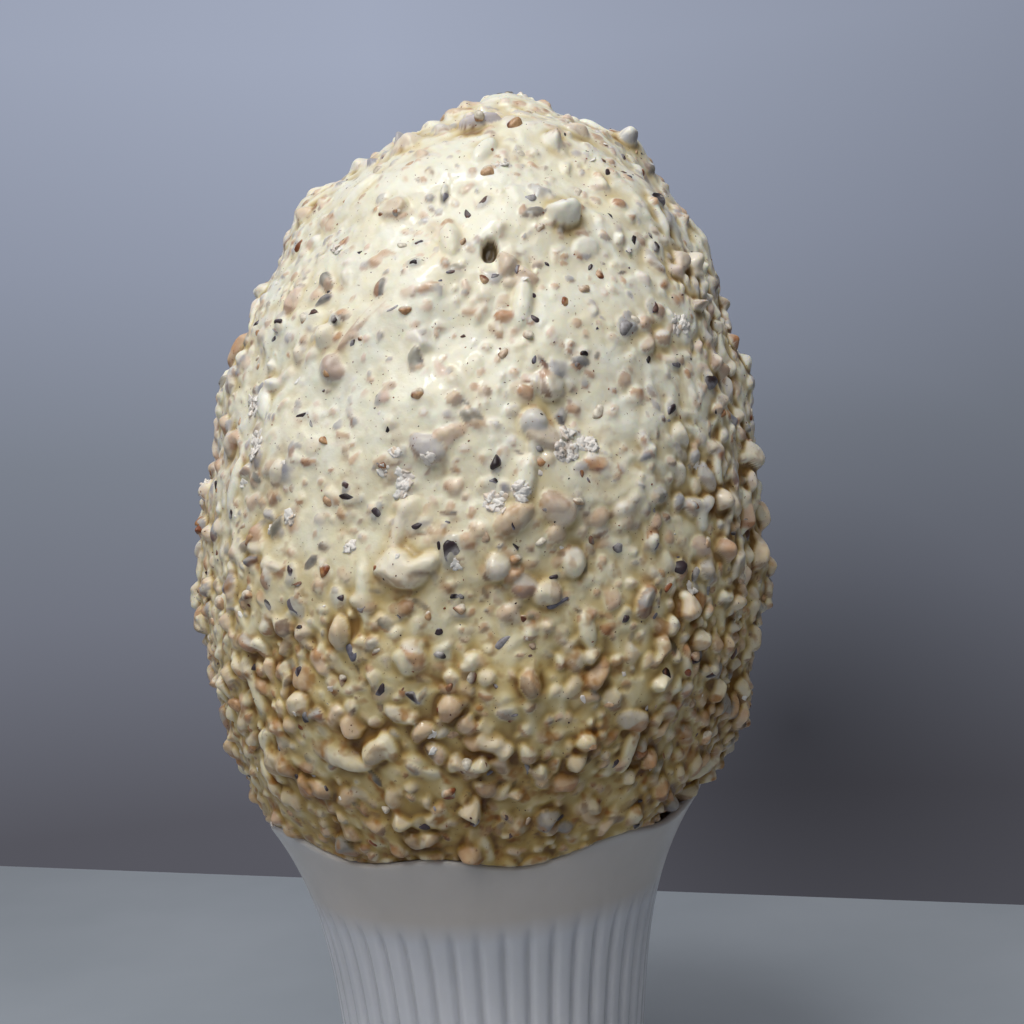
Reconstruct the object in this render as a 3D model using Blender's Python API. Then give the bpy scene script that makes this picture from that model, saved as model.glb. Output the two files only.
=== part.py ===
"""A large white chocolate egg with chopped nuts, standing in a ribbed vase of white glass.

Two closed solids, in metres, +Z up, with the origin at the middle of the vase's underside:
  vase   a hollow glass cone with rounded ribs, a plain band and a flared, wavy lip
  egg    one solid of chocolate, leaning in the lip, with its largest nut pieces fused on
The front of the object faces -Y.
"""

import math

import bmesh
import bpy
import numpy as np
from mathutils import Euler, Matrix, Vector

MM = 0.001

# Vase: heights are above the surface that it stands on.
VASE_HEIGHT = 112.0 * MM
BASE_RADIUS = 31.0 * MM
BASE_ROUNDING = 1.5 * MM
NECK_RADIUS = 42.8 * MM
TAPER_POWER = 1.25
FLARE = 8.4 * MM
FLARE_START = 64.0 * MM
FLARE_POWER = 3
GLASS_THICKNESS = 2.6 * MM
LIP_ROUNDING = 1.2 * MM
FLOOR_THICKNESS = 6.0 * MM
FLOOR_ROUNDING = 3.0 * MM

RIB_COUNT = 46
RIB_DEPTH = 1.1 * MM
RIB_POINTS = 3
RIB_PHASE = math.radians(-2.0)
RIB_FOOT = 6.0 * MM
RIB_TOP = 88.0 * MM
RIB_END = 95.0 * MM

WAVE_COUNT = 8
WAVE_HEIGHT = 1.4 * MM
WAVE_PHASE = math.radians(12.5)
SWAY_HEIGHT = 2.5 * MM
WAVE_START = 88.0 * MM

# Egg: its height is split at its widest level. The tip is lopsided: fuller towards +X.
EGG_RADIUS = 65.5 * MM
EGG_UPPER = 113.4 * MM
EGG_LOWER = 87.0 * MM
EGG_LEAN = math.radians(5.4)
LIP_TO_WIDEST = 58.9 * MM
LIP_TO_PIVOT = 21.3 * MM
UNDER_POWER = 2.1
TIP_NARROWING = 0.5
TIP_POWER = 9
TIP_SIDE = 0.2
TIP_SIDE_POWER = 5
EGG_COLUMNS = 44
EGG_ROWS = 26

LUMP_HEIGHT = 0.8 * MM
LUMP_LENGTH = 24.0 * MM
LUMP_WAVES = 9
SEAM_ANGLE = math.radians(64.0)
SEAM_DEPTH = 2.0 * MM
SEAM_WIDTH = 6.0 * MM
# Single swellings and hollows of the coating: latitude, turn, height and width, in degrees and millimetres.
SWELLINGS = (
    (66.0, -80.0, -4.2, 8.0),
    (46.0, -76.0, 2.8, 5.5),
    (35.0, -76.0, -2.4, 5.0),
    (26.0, -76.0, -2.0, 5.0),
    (19.5, -78.0, 1.5, 7.0),
    (11.0, -76.0, -1.2, 4.0),
    (-5.0, -78.0, 1.4, 7.0),
    (59.5, 72.0, 4.0, 5.5),
    (48.0, 76.0, 1.0, 6.0),
    (42.0, 78.0, 1.8, 4.5),
    (29.0, 78.0, -1.8, 6.0),
    (23.0, 78.0, 1.6, 4.5),
    (9.5, 78.0, -1.5, 6.0),
    (1.5, 78.0, 2.0, 5.0),
    (-24.0, 78.0, 3.2, 7.0),
    (-42.0, 66.0, -4.5, 10.0),
)

NUT_COUNT = 190
NUT_LARGEST = 8.0 * MM
NUT_SMALLEST = 5.2 * MM
NUT_ROUGHNESS = 0.16
NUT_RISE = -0.14
NUT_SHIFT = 0.30
LIP_GAP = 0.6 * MM
REST_GAP = 0.9 * MM
REST_SLOPE = 0.7
SEED = 11


def clear_scene():
    """Removes whatever the file already holds."""
    for thing in list(bpy.data.objects):
        bpy.data.objects.remove(thing)


def material(name, colour, roughness, metallic=0.0, transmission=0.0):
    """A plain Principled BSDF material."""
    made = bpy.data.materials.new(name)
    made.use_nodes = True
    shader = made.node_tree.nodes["Principled BSDF"]
    shader.inputs["Base Color"].default_value = (*colour, 1.0)
    shader.inputs["Roughness"].default_value = roughness
    shader.inputs["Metallic"].default_value = metallic
    shader.inputs["Transmission Weight"].default_value = transmission
    return made


def mesh_object(name, points, faces, finish):
    """An object in the scene from a list of points and a list of faces."""
    mesh = bpy.data.meshes.new(name)
    mesh.from_pydata([tuple(p) for p in points], [], faces)
    mesh.validate()
    mesh.materials.append(finish)
    made = bpy.data.objects.new(name, mesh)
    bpy.context.scene.collection.objects.link(made)
    return made


def shade(thing, angle):
    """Smooth shading with edges sharper than the angle kept."""
    thing.data.shade_smooth()
    thing.data.set_sharp_from_angle(angle=angle)


# ---------------------------------------------------------------- vase

def outer_radius(height):
    """Radius of the glass without ribs: a bowed taper, and a flare that opens faster and faster."""
    taper = (NECK_RADIUS - BASE_RADIUS) * (height / VASE_HEIGHT) ** TAPER_POWER
    opening = np.clip((height - FLARE_START) / (VASE_HEIGHT - FLARE_START), 0.0, None)
    return BASE_RADIUS + taper + FLARE * opening ** FLARE_POWER


def lip_lift(turn):
    """How far the lip's edge is above the vase's height: small waves, and the sides above front and back."""
    small = -WAVE_HEIGHT * np.cos(WAVE_COUNT * (turn - WAVE_PHASE))
    return small - SWAY_HEIGHT * np.cos(2.0 * turn)


def waved(turn, height):
    """A level of the glass as the waves carry it, the more the nearer it is to the lip."""
    share = np.clip((height - WAVE_START) / (VASE_HEIGHT - WAVE_START), 0.0, 1.0)
    return height + lip_lift(turn) * share ** 2


def groove(column):
    """1 in the groove between two ribs, 0 on the ribs."""
    return 1.0 if column % RIB_POINTS == 0 else 0.0


def ring(turns, height, inset=0.0, ribbed=0.0):
    """One level of the vase, inset from the plain outside; the turn is 0 at the front and grows towards +X."""
    level = waved(turns, height)
    grooves = np.array([groove(column) for column in range(len(turns))])
    radius = outer_radius(level) - inset - RIB_DEPTH * ribbed * grooves
    return np.stack([radius * np.sin(turns), -radius * np.cos(turns), level], axis=1)


def closed_rings(rings, bottom, top):
    """Faces that join rings one after another, with a fan at each end."""
    count = len(rings[0])
    points = np.concatenate(rings + [np.array([bottom, top])])
    first, last = len(points) - 2, len(points) - 1
    end = (len(rings) - 1) * count
    faces = []
    for column in range(count):
        beside = (column + 1) % count
        faces.append((first, beside, column))
        faces.append((last, end + column, end + beside))
        for level in range(len(rings) - 1):
            low = level * count
            faces.append((low + column, low + beside, low + count + beside, low + count + column))
    return points, faces


def make_vase(finish):
    """Glass vase: rings go up the outside, over the lip and down the inside to the floor."""
    turns = RIB_PHASE + np.arange(RIB_COUNT * RIB_POINTS) * (2.0 * math.pi / (RIB_COUNT * RIB_POINTS))
    lip = VASE_HEIGHT - LIP_ROUNDING
    rings = [
        ring(turns, 0.0, inset=BASE_ROUNDING),
        ring(turns, BASE_ROUNDING),
        ring(turns, RIB_FOOT, ribbed=1.0),
        ring(turns, FLARE_START, ribbed=1.0),
        ring(turns, RIB_TOP, ribbed=1.0),
    ]
    rings += [ring(turns, height) for height in np.linspace(RIB_END, lip, 4)]
    rings.append(ring(turns, VASE_HEIGHT, inset=GLASS_THICKNESS / 2.0))
    rings += [ring(turns, height, inset=GLASS_THICKNESS) for height in np.linspace(lip, RIB_TOP, 4)]
    rings += [ring(turns, FLARE_START, inset=GLASS_THICKNESS),
              ring(turns, FLOOR_THICKNESS + FLOOR_ROUNDING, inset=GLASS_THICKNESS),
              ring(turns, FLOOR_THICKNESS, inset=GLASS_THICKNESS + FLOOR_ROUNDING)]
    points, faces = closed_rings(rings, (0.0, 0.0, 0.0), (0.0, 0.0, FLOOR_THICKNESS))
    vase = mesh_object("vase", points, faces, finish)
    shade(vase, math.radians(40.0))
    return vase


# ---------------------------------------------------------------- egg

def egg_frame():
    """Place of the egg: it leans towards +X about a point of the vase's axis just above the lip."""
    lean = Euler((0.0, EGG_LEAN, 0.0)).to_matrix()
    pivot = Vector((0.0, 0.0, VASE_HEIGHT + LIP_TO_PIVOT))
    centre = pivot + lean @ Vector((0.0, 0.0, LIP_TO_WIDEST - LIP_TO_PIVOT))
    return centre, lean


def egg_outline(latitude):
    """Radius and height of the round egg: a half ellipse drawn in at its tip, and a fuller half below."""
    sine, cosine = np.sin(latitude), np.cos(latitude)
    narrowing = 1.0 - TIP_NARROWING * np.clip(sine, 0.0, 1.0) ** TIP_POWER
    under = (1.0 - np.clip(-sine, 0.0, 1.0) ** UNDER_POWER) ** (1.0 / UNDER_POWER)
    height = np.where(sine > 0.0, EGG_UPPER, EGG_LOWER) * sine
    return EGG_RADIUS * np.where(sine > 0.0, cosine * narrowing, under), height


def plain_egg(latitude, turn):
    """Points of the egg without lumps: round at its widest level, and fuller to one side near its tip."""
    radius, height = egg_outline(latitude)
    lopsided = 1.0 + TIP_SIDE * np.clip(np.sin(latitude), 0.0, 1.0) ** TIP_SIDE_POWER * np.sin(turn)
    radius = radius * lopsided
    return np.stack([radius * np.sin(turn), -radius * np.cos(turn), height * np.ones_like(turn)], axis=-1)


def outward(latitude, turn):
    """Unit direction square to the plain egg, from the slope of its outline."""
    step = 1e-4
    radius_a, height_a = egg_outline(latitude - step)
    radius_b, height_b = egg_outline(latitude + step)
    run, climb = radius_b - radius_a, height_b - height_a
    length = np.hypot(run, climb)
    across, up = climb / length, -run / length
    return np.stack([across * np.sin(turn), -across * np.cos(turn), up], axis=-1)


def lumps(points, draw):
    """Soft swelling of the coating: a sum of plane waves in evenly spread directions, with drawn phases."""
    total = np.zeros(points.shape[:-1])
    for index in range(LUMP_WAVES):
        up = 1.0 - 2.0 * (index + 0.5) / LUMP_WAVES
        turn = index * math.pi * (3.0 - math.sqrt(5.0))
        side = math.sqrt(1.0 - up * up)
        direction = np.array([side * math.cos(turn), side * math.sin(turn), up])
        total += np.sin(points @ direction * (2.0 * math.pi / LUMP_LENGTH) + draw[index])
    return total * LUMP_HEIGHT / math.sqrt(LUMP_WAVES)


def seam(points):
    """Shallow valley where the two halves of the egg meet, in an upright plane through its axis."""
    across = points[..., 0] * math.cos(SEAM_ANGLE) + points[..., 1] * math.sin(SEAM_ANGLE)
    return -SEAM_DEPTH * np.exp(-(across / SEAM_WIDTH) ** 2)


def swellings(points):
    """The single swellings: each a bell-shaped bump or dent about its place on the egg."""
    total = np.zeros(points.shape[:-1])
    for latitude, turn, height, width in SWELLINGS:
        middle = plain_egg(np.array(math.radians(latitude)), np.array(math.radians(turn)))
        away = np.linalg.norm(points - middle, axis=-1)
        total += height * MM * np.exp(-0.5 * (away / (width * MM)) ** 2)
    return total


def egg_surface(latitude, turn, draw):
    """Points of the lumpy coating."""
    plain = plain_egg(latitude, turn)
    swell = lumps(plain, draw) + seam(plain) + swellings(plain)
    return plain + outward(latitude, turn) * swell[..., None]


def rest_in_lip(points):
    """Draws points in to clear the glass: to its inner wall below the lip's edge, and to a cone above it."""
    turn = np.arctan2(points[:, 0], -points[:, 1])
    radius = np.hypot(points[:, 0], points[:, 1])
    edge = VASE_HEIGHT + lip_lift(turn)
    wall = outer_radius(np.minimum(points[:, 2], edge)) - GLASS_THICKNESS - REST_GAP
    most = wall + REST_SLOPE * np.clip(points[:, 2] - edge, 0.0, None)
    share = np.minimum(1.0, most / np.maximum(radius, MM))
    return points * np.stack([share, share, np.ones_like(share)], axis=1)


def make_core(draw, finish):
    """The egg without its nuts: rings from bottom to tip, with a fan at each pole."""
    turns = np.arange(EGG_COLUMNS) * (2.0 * math.pi / EGG_COLUMNS)
    levels = np.linspace(-math.pi / 2.0, math.pi / 2.0, EGG_ROWS + 2)[1:-1]
    rings = [egg_surface(np.full_like(turns, level), turns, draw) for level in levels]
    bottom = (0.0, 0.0, -EGG_LOWER)
    tip = (0.0, 0.0, EGG_UPPER)
    points, faces = closed_rings(rings, bottom, tip)
    centre, lean = egg_frame()
    world = rest_in_lip(points @ np.array(lean).T + np.array(centre))
    egg = mesh_object("egg", (world - np.array(centre)) @ np.array(lean), faces, finish)
    egg.matrix_world = Matrix.Translation(centre) @ lean.to_4x4()
    return egg


def spread_places(count):
    """Latitudes and turns spread evenly over the egg: equal areas up the egg, golden angle round it."""
    fine = np.linspace(-math.pi / 2.0, math.pi / 2.0, 2000)
    radius, height = egg_outline(fine)
    strip = np.hypot(np.diff(radius), np.diff(height)) * (radius[1:] + radius[:-1])
    area = np.concatenate([[0.0], np.cumsum(strip)])
    share = (np.arange(count) + 0.5) / count
    latitude = np.interp(share * area[-1], area, fine)
    turn = np.arange(count) * math.pi * (3.0 - math.sqrt(5.0))
    return latitude, turn


def clear_of_lip(points):
    """True where every point is above the lip or inside the glass, by the gap."""
    turn = np.arctan2(points[:, 0], -points[:, 1])
    radius = np.hypot(points[:, 0], points[:, 1])
    above = points[:, 2] > VASE_HEIGHT + lip_lift(turn) + LIP_GAP
    inside = radius < outer_radius(points[:, 2]) - GLASS_THICKNESS - LIP_GAP
    return bool(np.all(above | inside))


def nut_points(place, size, draw):
    """One chopped piece: a ball of twenty faces, stretched, turned and made uneven."""
    ball = bmesh.new()
    bmesh.ops.create_icosphere(ball, subdivisions=1, radius=0.5)
    shape = np.array([v.co[:] for v in ball.verts])
    faces = [[v.index for v in face.verts] for face in ball.faces]
    ball.free()
    shape *= 1.0 + NUT_ROUGHNESS * draw.uniform(-1.0, 1.0, (len(shape), 1))
    shape *= size * np.array([1.0, draw.uniform(0.7, 1.0), draw.uniform(0.6, 0.9)])
    turned = Euler(draw.uniform(0.0, 2.0 * math.pi, 3)).to_matrix()
    return shape @ np.array(turned).T + place, faces


def make_nuts(draw, lump_draw, finish):
    """The largest nut pieces, spread evenly, each half sunk; a piece that would cross the lip is skipped."""
    group = bpy.data.collections.new("nuts")
    bpy.context.scene.collection.children.link(group)
    centre, lean = egg_frame()
    latitudes, turns = spread_places(NUT_COUNT)
    spacing = math.sqrt(4.0 * math.pi / NUT_COUNT)
    for index in range(NUT_COUNT):
        latitude = latitudes[index] + NUT_SHIFT * spacing * draw.uniform(-0.5, 0.5)
        turn = turns[index] + NUT_SHIFT * spacing * draw.uniform(-0.5, 0.5)
        size = NUT_SMALLEST + (NUT_LARGEST - NUT_SMALLEST) * draw.uniform() ** 2
        here = egg_surface(np.array(latitude), np.array(turn), lump_draw)
        place = here + outward(np.array(latitude), np.array(turn)) * size * NUT_RISE
        points, faces = nut_points(place, size, draw)
        world = points @ np.array(lean).T + np.array(centre)
        if not clear_of_lip(world):
            continue
        nut = mesh_object(f"nut_{index}", points, faces, finish)
        nut.matrix_world = Matrix.Translation(centre) @ lean.to_4x4()
        bpy.context.scene.collection.objects.unlink(nut)
        group.objects.link(nut)
    return group


def fuse(body, group):
    """Joins a collection's objects to the body with one union, applied, and removes them."""
    union = body.modifiers.new("union", "BOOLEAN")
    union.operation = "UNION"
    union.operand_type = "COLLECTION"
    union.collection = group
    union.solver = "EXACT"
    graph = bpy.context.evaluated_depsgraph_get()
    joined = bpy.data.meshes.new_from_object(body.evaluated_get(graph), depsgraph=graph)
    body.modifiers.clear()
    body.data = joined
    joined.name = body.name
    for piece in list(group.objects):
        bpy.data.objects.remove(piece)
    bpy.data.collections.remove(group)


def keep_largest_shell(thing):
    """Drops loose scraps and fills sealed hollows: only the outermost shell stays."""
    shape = bmesh.new()
    shape.from_mesh(thing.data)
    bmesh.ops.triangulate(shape, faces=shape.faces[:])
    unseen = set(shape.faces)
    shells = []
    while unseen:
        queue = [unseen.pop()]
        shell = list(queue)
        while queue:
            for edge in queue.pop().edges:
                for face in edge.link_faces:
                    if face in unseen:
                        unseen.remove(face)
                        queue.append(face)
                        shell.append(face)
        shells.append(shell)
    shells.sort(key=len)
    scraps = [face for shell in shells[:-1] for face in shell]
    bmesh.ops.delete(shape, geom=scraps, context="FACES")
    shape.to_mesh(thing.data)
    shape.free()


def make_egg(finish):
    """The egg: its core with the nut pieces fused on."""
    draw = np.random.default_rng(SEED)
    lump_draw = draw.uniform(0.0, 2.0 * math.pi, LUMP_WAVES)
    egg = make_core(lump_draw, finish)
    fuse(egg, make_nuts(draw, lump_draw, finish))
    keep_largest_shell(egg)
    shade(egg, math.radians(35.0))
    return egg


clear_scene()
make_vase(material("milk_glass", (0.56, 0.58, 0.60), 0.22, transmission=0.15))
make_egg(material("white_chocolate", (0.72, 0.66, 0.47), 0.32))
bpy.context.view_layer.update()
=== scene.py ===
"""White chocolate egg with chopped nuts in a ribbed vase of milk glass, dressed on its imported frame."""

import math

import bmesh
import bpy
import numpy as np
from mathutils import Euler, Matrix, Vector


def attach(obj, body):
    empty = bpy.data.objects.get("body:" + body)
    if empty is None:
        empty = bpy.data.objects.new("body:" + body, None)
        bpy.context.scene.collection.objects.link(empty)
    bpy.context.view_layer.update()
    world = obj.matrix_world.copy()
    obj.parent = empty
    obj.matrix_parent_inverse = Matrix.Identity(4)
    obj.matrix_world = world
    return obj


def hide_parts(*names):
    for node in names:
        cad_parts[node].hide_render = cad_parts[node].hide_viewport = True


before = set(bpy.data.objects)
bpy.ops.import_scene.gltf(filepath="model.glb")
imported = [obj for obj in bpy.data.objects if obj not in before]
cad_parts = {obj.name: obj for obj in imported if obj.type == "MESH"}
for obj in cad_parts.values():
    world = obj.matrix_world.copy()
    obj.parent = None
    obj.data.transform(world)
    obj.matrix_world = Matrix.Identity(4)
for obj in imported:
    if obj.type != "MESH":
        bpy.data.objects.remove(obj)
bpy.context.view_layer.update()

MM = 0.001


# ---------------------------------------------------------------- camera
# The picture is taken level with the middle of the egg, from a forearm's length away and a little to
# the right of the vase, with the camera rolled so that the whole object leans to the left.
CAMERA_DISTANCE = 320.0 * MM
CAMERA_SIDE = 11.3 * MM
CAMERA_HEIGHT = 182.0 * MM
CAMERA_ROLL = math.radians(3.3)
CAMERA_NEAREST = 10.0 * MM
PIXELS_ACROSS = 1024
FOCAL_PIXELS = 1312
SENSOR = 36.0

camera = bpy.data.objects.new("camera", bpy.data.cameras.new("camera"))
camera.data.sensor_width = SENSOR
camera.data.lens = SENSOR * FOCAL_PIXELS / PIXELS_ACROSS
camera.data.clip_start = CAMERA_NEAREST
camera.location = (CAMERA_SIDE, -CAMERA_DISTANCE, CAMERA_HEIGHT)
camera.rotation_euler = Euler((math.pi / 2.0, CAMERA_ROLL, 0.0), "XYZ")
bpy.context.scene.collection.objects.link(camera)
bpy.context.scene.camera = camera


# ---------------------------------------------------------------- studio
# A pale table top and one soft light, high up and a little to the left, so that the lower right of the
# egg lies in its own shade. Far off, the surround is a cool grey wall behind the table and dim elsewhere.
TABLE_BACK_LEFT = (0, 866)
TABLE_BACK_RIGHT = (1024, 905)
TABLE_FRONT = -900.0 * MM
TABLE_HALF_WIDTH = 900.0 * MM
TABLE_TONES = [(0.35, (0.385, 0.43, 0.485)), (0.65, (0.43, 0.475, 0.535))]
# The lights, all aimed at the egg: name, place and width in metres, and power.
LIGHTS = (("key", (-0.20, -0.55, 0.95), 1.0, 8.0), ("sparkle", (-0.12, -0.45, 1.00), 0.15, 1.7))
LIGHT_COLOUR = (1.0, 0.995, 0.985)
LIGHT_AIM = (0.0, 0.0, 0.18)
# The wall's colours by how far down or up one looks, as the sine of that angle plus a half.
WALL_TONES = [(0.29, (0.10, 0.10, 0.12)), (0.44, (0.177, 0.189, 0.232)), (0.55, (0.215, 0.238, 0.288)),
              (0.69, (0.294, 0.326, 0.415)), (0.83, (0.36, 0.40, 0.51))]
WALL_SHARES = [(0.15, 0.92), (0.42, 1.0), (0.62, 0.86), (0.86, 0.72)]
WALL_BEGINS = [(0.45, 0.0), (0.75, 1.0)]
# The object's own soft shade on the wall: the direction of its middle, and how dark it is by distance.
WALL_SHADE_WAY = (0.20, 0.965, -0.17)
WALL_SHADE = [(0.0, 0.42), (0.08, 0.62), (0.18, 0.88), (0.27, 1.0)]
ROOM_COLOUR = (0.130, 0.117, 0.099)
ROOM_SHARES = [(0.30, (1.0, 1.0, 1.0)), (0.55, (0.68, 0.64, 0.58)), (0.85, (0.24, 0.20, 0.14))]


def feed(socket, value):
    """Links an output to a socket, or sets the socket's plain value."""
    if isinstance(value, bpy.types.NodeSocket):
        socket.id_data.links.new(value, socket)
    elif socket.type == "RGBA":
        socket.default_value = (*value, 1.0)
    else:
        socket.default_value = value


def set_inputs(node, **values):
    """Feeds a node's sockets by name, with spaces written as underscores."""
    for name, value in values.items():
        feed(node.inputs[name.replace("_", " ")], value)


def add_node(tree, kind, **properties):
    """Adds a node and sets its properties."""
    node = tree.nodes.new(kind)
    for name, value in properties.items():
        setattr(node, name, value)
    return node


def new_material(name):
    """A material, its node tree and its shader."""
    made = bpy.data.materials.new(name)
    made.use_nodes = True
    return made, made.node_tree, made.node_tree.nodes["Principled BSDF"]


def noise_texture(tree, scale, detail=2.0, roughness=0.5):
    """A noise pattern on Object coordinates; the scale is in bumps a metre."""
    place = add_node(tree, "ShaderNodeTexCoord")
    noise = add_node(tree, "ShaderNodeTexNoise")
    set_inputs(noise, Vector=place.outputs["Object"], Scale=scale, Detail=detail, Roughness=roughness)
    return noise.outputs["Fac"]


def colour_ramp(source, stops):
    """A ramp from positions to colours or greys, fed by one output."""
    ramp = add_node(source.id_data, "ShaderNodeValToRGB")
    while len(ramp.color_ramp.elements) < len(stops):
        ramp.color_ramp.elements.new(0.5)
    for element, (position, colour) in zip(ramp.color_ramp.elements, stops):
        element.position = position
        element.color = (*colour, 1.0) if isinstance(colour, tuple) else (colour, colour, colour, 1.0)
    set_inputs(ramp, Fac=source)
    return ramp.outputs["Color"]


def mixed(tree, share, first, second, blend_type="MIX"):
    """Mixes two colours; the share and either colour may be an output or a plain value."""
    mix = add_node(tree, "ShaderNodeMix", data_type="RGBA", blend_type=blend_type)
    for index, value in ((0, share), (6, first), (7, second)):
        feed(mix.inputs[index], value)
    return mix.outputs[2]


def times(first, second):
    """An output's colour times another colour."""
    return mixed(first.id_data, 1.0, first, second, "MULTIPLY")


def reckoned(operation, first, second):
    """A sum or product of an output and another output or number."""
    node = add_node(first.id_data, "ShaderNodeMath", operation=operation)
    feed(node.inputs[0], first)
    feed(node.inputs[1], second)
    return node.outputs[0]


def on_table(pixel):
    """The point of the table's plane that the camera sees at a pixel."""
    right = (pixel[0] - PIXELS_ACROSS / 2.0) / FOCAL_PIXELS
    up = (PIXELS_ACROSS / 2.0 - pixel[1]) / FOCAL_PIXELS
    across = right * math.cos(CAMERA_ROLL) + up * math.sin(CAMERA_ROLL)
    down = right * math.sin(CAMERA_ROLL) - up * math.cos(CAMERA_ROLL)
    far = CAMERA_HEIGHT / down
    return np.array([CAMERA_SIDE + far * across, far - CAMERA_DISTANCE])


def make_table():
    """A flat four-sided top, whose back edge is the line between its two seen ends."""
    left, right = on_table(TABLE_BACK_LEFT), on_table(TABLE_BACK_RIGHT)
    way = (right - left) / (right[0] - left[0])
    ends = [left + way * (side * TABLE_HALF_WIDTH - left[0]) for side in (-1.0, 1.0)]
    points = [(*ends[0], 0.0), (-TABLE_HALF_WIDTH, TABLE_FRONT, 0.0),
              (TABLE_HALF_WIDTH, TABLE_FRONT, 0.0), (*ends[1], 0.0)]
    mesh = bpy.data.meshes.new("table_top")
    mesh.from_pydata(points, [], [(0, 1, 2, 3)])
    table = bpy.data.objects.new("table_top", mesh)
    bpy.context.scene.collection.objects.link(table)
    finish, tree, shader = new_material("pale_table")
    clouds = noise_texture(tree, scale=9.0, detail=4.0)
    set_inputs(shader, Base_Color=colour_ramp(clouds, TABLE_TONES), Roughness=0.6)
    mesh.materials.append(finish)
    return table


def area_light(name, place, width, power):
    """A round soft light that points at the egg."""
    data = bpy.data.lights.new(name, "AREA")
    data.shape = "DISK"
    data.size = width
    data.energy = power
    data.color = LIGHT_COLOUR
    light = bpy.data.objects.new(name, data)
    light.location = place
    light.rotation_euler = (Vector(LIGHT_AIM) - Vector(place)).to_track_quat("-Z", "Y").to_euler()
    bpy.context.scene.collection.objects.link(light)


make_table()
for light_row in LIGHTS:
    area_light(*light_row)
world = bpy.data.worlds.new("surround")
bpy.context.scene.world = world
world.use_nodes = True
surround = world.node_tree
toward = add_node(surround, "ShaderNodeTexCoord").outputs["Generated"]
parts = add_node(surround, "ShaderNodeSeparateXYZ")
set_inputs(parts, Vector=toward)
sideways = reckoned("ADD", parts.outputs["X"], 0.5)
upward = reckoned("ADD", parts.outputs["Z"], 0.5)
apart = add_node(surround, "ShaderNodeVectorMath", operation="DISTANCE")
feed(apart.inputs[0], toward)
feed(apart.inputs[1], WALL_SHADE_WAY)
wall = times(colour_ramp(upward, WALL_TONES), colour_ramp(sideways, WALL_SHARES))
wall = times(wall, colour_ramp(apart.outputs["Value"], WALL_SHADE))
room = times(colour_ramp(sideways, ROOM_SHARES), ROOM_COLOUR)
behind = colour_ramp(parts.outputs["Y"], WALL_BEGINS)
set_inputs(surround.nodes["Background"], Color=mixed(surround, behind, room, wall))
bpy.context.scene.view_settings.view_transform = "Standard"


# ---------------------------------------------------------------- vase
# Pressed milk glass: a bowed cone with 46 rounded ribs and narrow grooves between them, a plain band
# above the ribs, and a flared lip that is cut in small waves, higher at the sides than in front.
VASE_HEIGHT = 112.0 * MM
BASE_RADIUS = 31.0 * MM
BASE_ROUNDING = 1.5 * MM
NECK_RADIUS = 42.8 * MM
TAPER_POWER = 1.25
FLARE = 8.4 * MM
FLARE_START = 64.0 * MM
FLARE_POWER = 3
GLASS_THICKNESS = 2.6 * MM
FLOOR_THICKNESS = 6.0 * MM
FLOOR_ROUNDING = 3.0 * MM
RIB_COUNT = 46
RIB_DEPTH = 1.1 * MM
GROOVE_POWER = 3.5
RIB_COLUMNS = 10
RIB_PHASE = math.radians(-2.0)
RIB_FOOT = 4.0 * MM
RIB_TOP = 89.0 * MM
RIB_END = 95.0 * MM
WAVE_COUNT = 8
WAVE_HEIGHT = 1.4 * MM
WAVE_PHASE = math.radians(12.5)
SWAY_HEIGHT = 2.5 * MM
WAVE_START = 88.0 * MM
ROUNDING_STEPS = 5
LIP_STEPS = 7
WALL_STEPS = 60
GLASS_TONES = [(0.3, (0.585, 0.60, 0.66)), (0.7, (0.645, 0.655, 0.72))]
# Painted warm light from the chocolate behind the thin glass, above the ribs; the ramp runs over this height.
LIP_WARM_LIGHT_TOP = 120.0 * MM
LIP_WARM_LIGHT_TONES = [(0.755, (1.0, 1.0, 1.0)), (0.80, (0.95, 0.86, 0.74)), (0.91, (0.96, 0.875, 0.76)),
             (0.965, (1.0, 0.97, 0.92))]


def around(radius, turn, height):
    """Points about the upright axis: a turn from the front, a radius and a height."""
    return np.stack(np.broadcast_arrays(radius * np.sin(turn), -radius * np.cos(turn), height), axis=-1)


def smooth(value, low, high):
    """0 below low, 1 above high, and an S-curve between."""
    share = np.clip((value - low) / (high - low), 0.0, 1.0)
    return share * share * (3.0 - 2.0 * share)


def outer_radius(height):
    """Radius of the glass without ribs: a bowed taper, plus a flare by the cube of the height."""
    taper = (NECK_RADIUS - BASE_RADIUS) * (np.clip(height, 0.0, None) / VASE_HEIGHT) ** TAPER_POWER
    opening = np.clip((height - FLARE_START) / (VASE_HEIGHT - FLARE_START), 0.0, None)
    return BASE_RADIUS + taper + FLARE * opening ** FLARE_POWER


def lip_lift(turn):
    """Height of the lip's edge over the vase's height: eight small waves, and a slow one for the sides."""
    small = -WAVE_HEIGHT * np.cos(WAVE_COUNT * (turn - WAVE_PHASE))
    return small - SWAY_HEIGHT * np.cos(2.0 * turn)


def waved(turn, height):
    """A level lifted by the lip's waves, in proportion to the square of its nearness to the lip."""
    share = np.clip((height - WAVE_START) / (VASE_HEIGHT - WAVE_START), 0.0, 1.0)
    return height + lip_lift(turn) * share ** 2


def rib_inset(turn, height):
    """Depth below the ribs' crests: a power of a raised cosine, so that grooves are narrower than ribs."""
    groove = (0.5 + 0.5 * np.cos((turn - RIB_PHASE) * RIB_COUNT)) ** GROOVE_POWER
    ends = smooth(height, BASE_ROUNDING, RIB_FOOT) * (1.0 - smooth(height, RIB_TOP, RIB_END))
    return RIB_DEPTH * groove * ends


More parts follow.
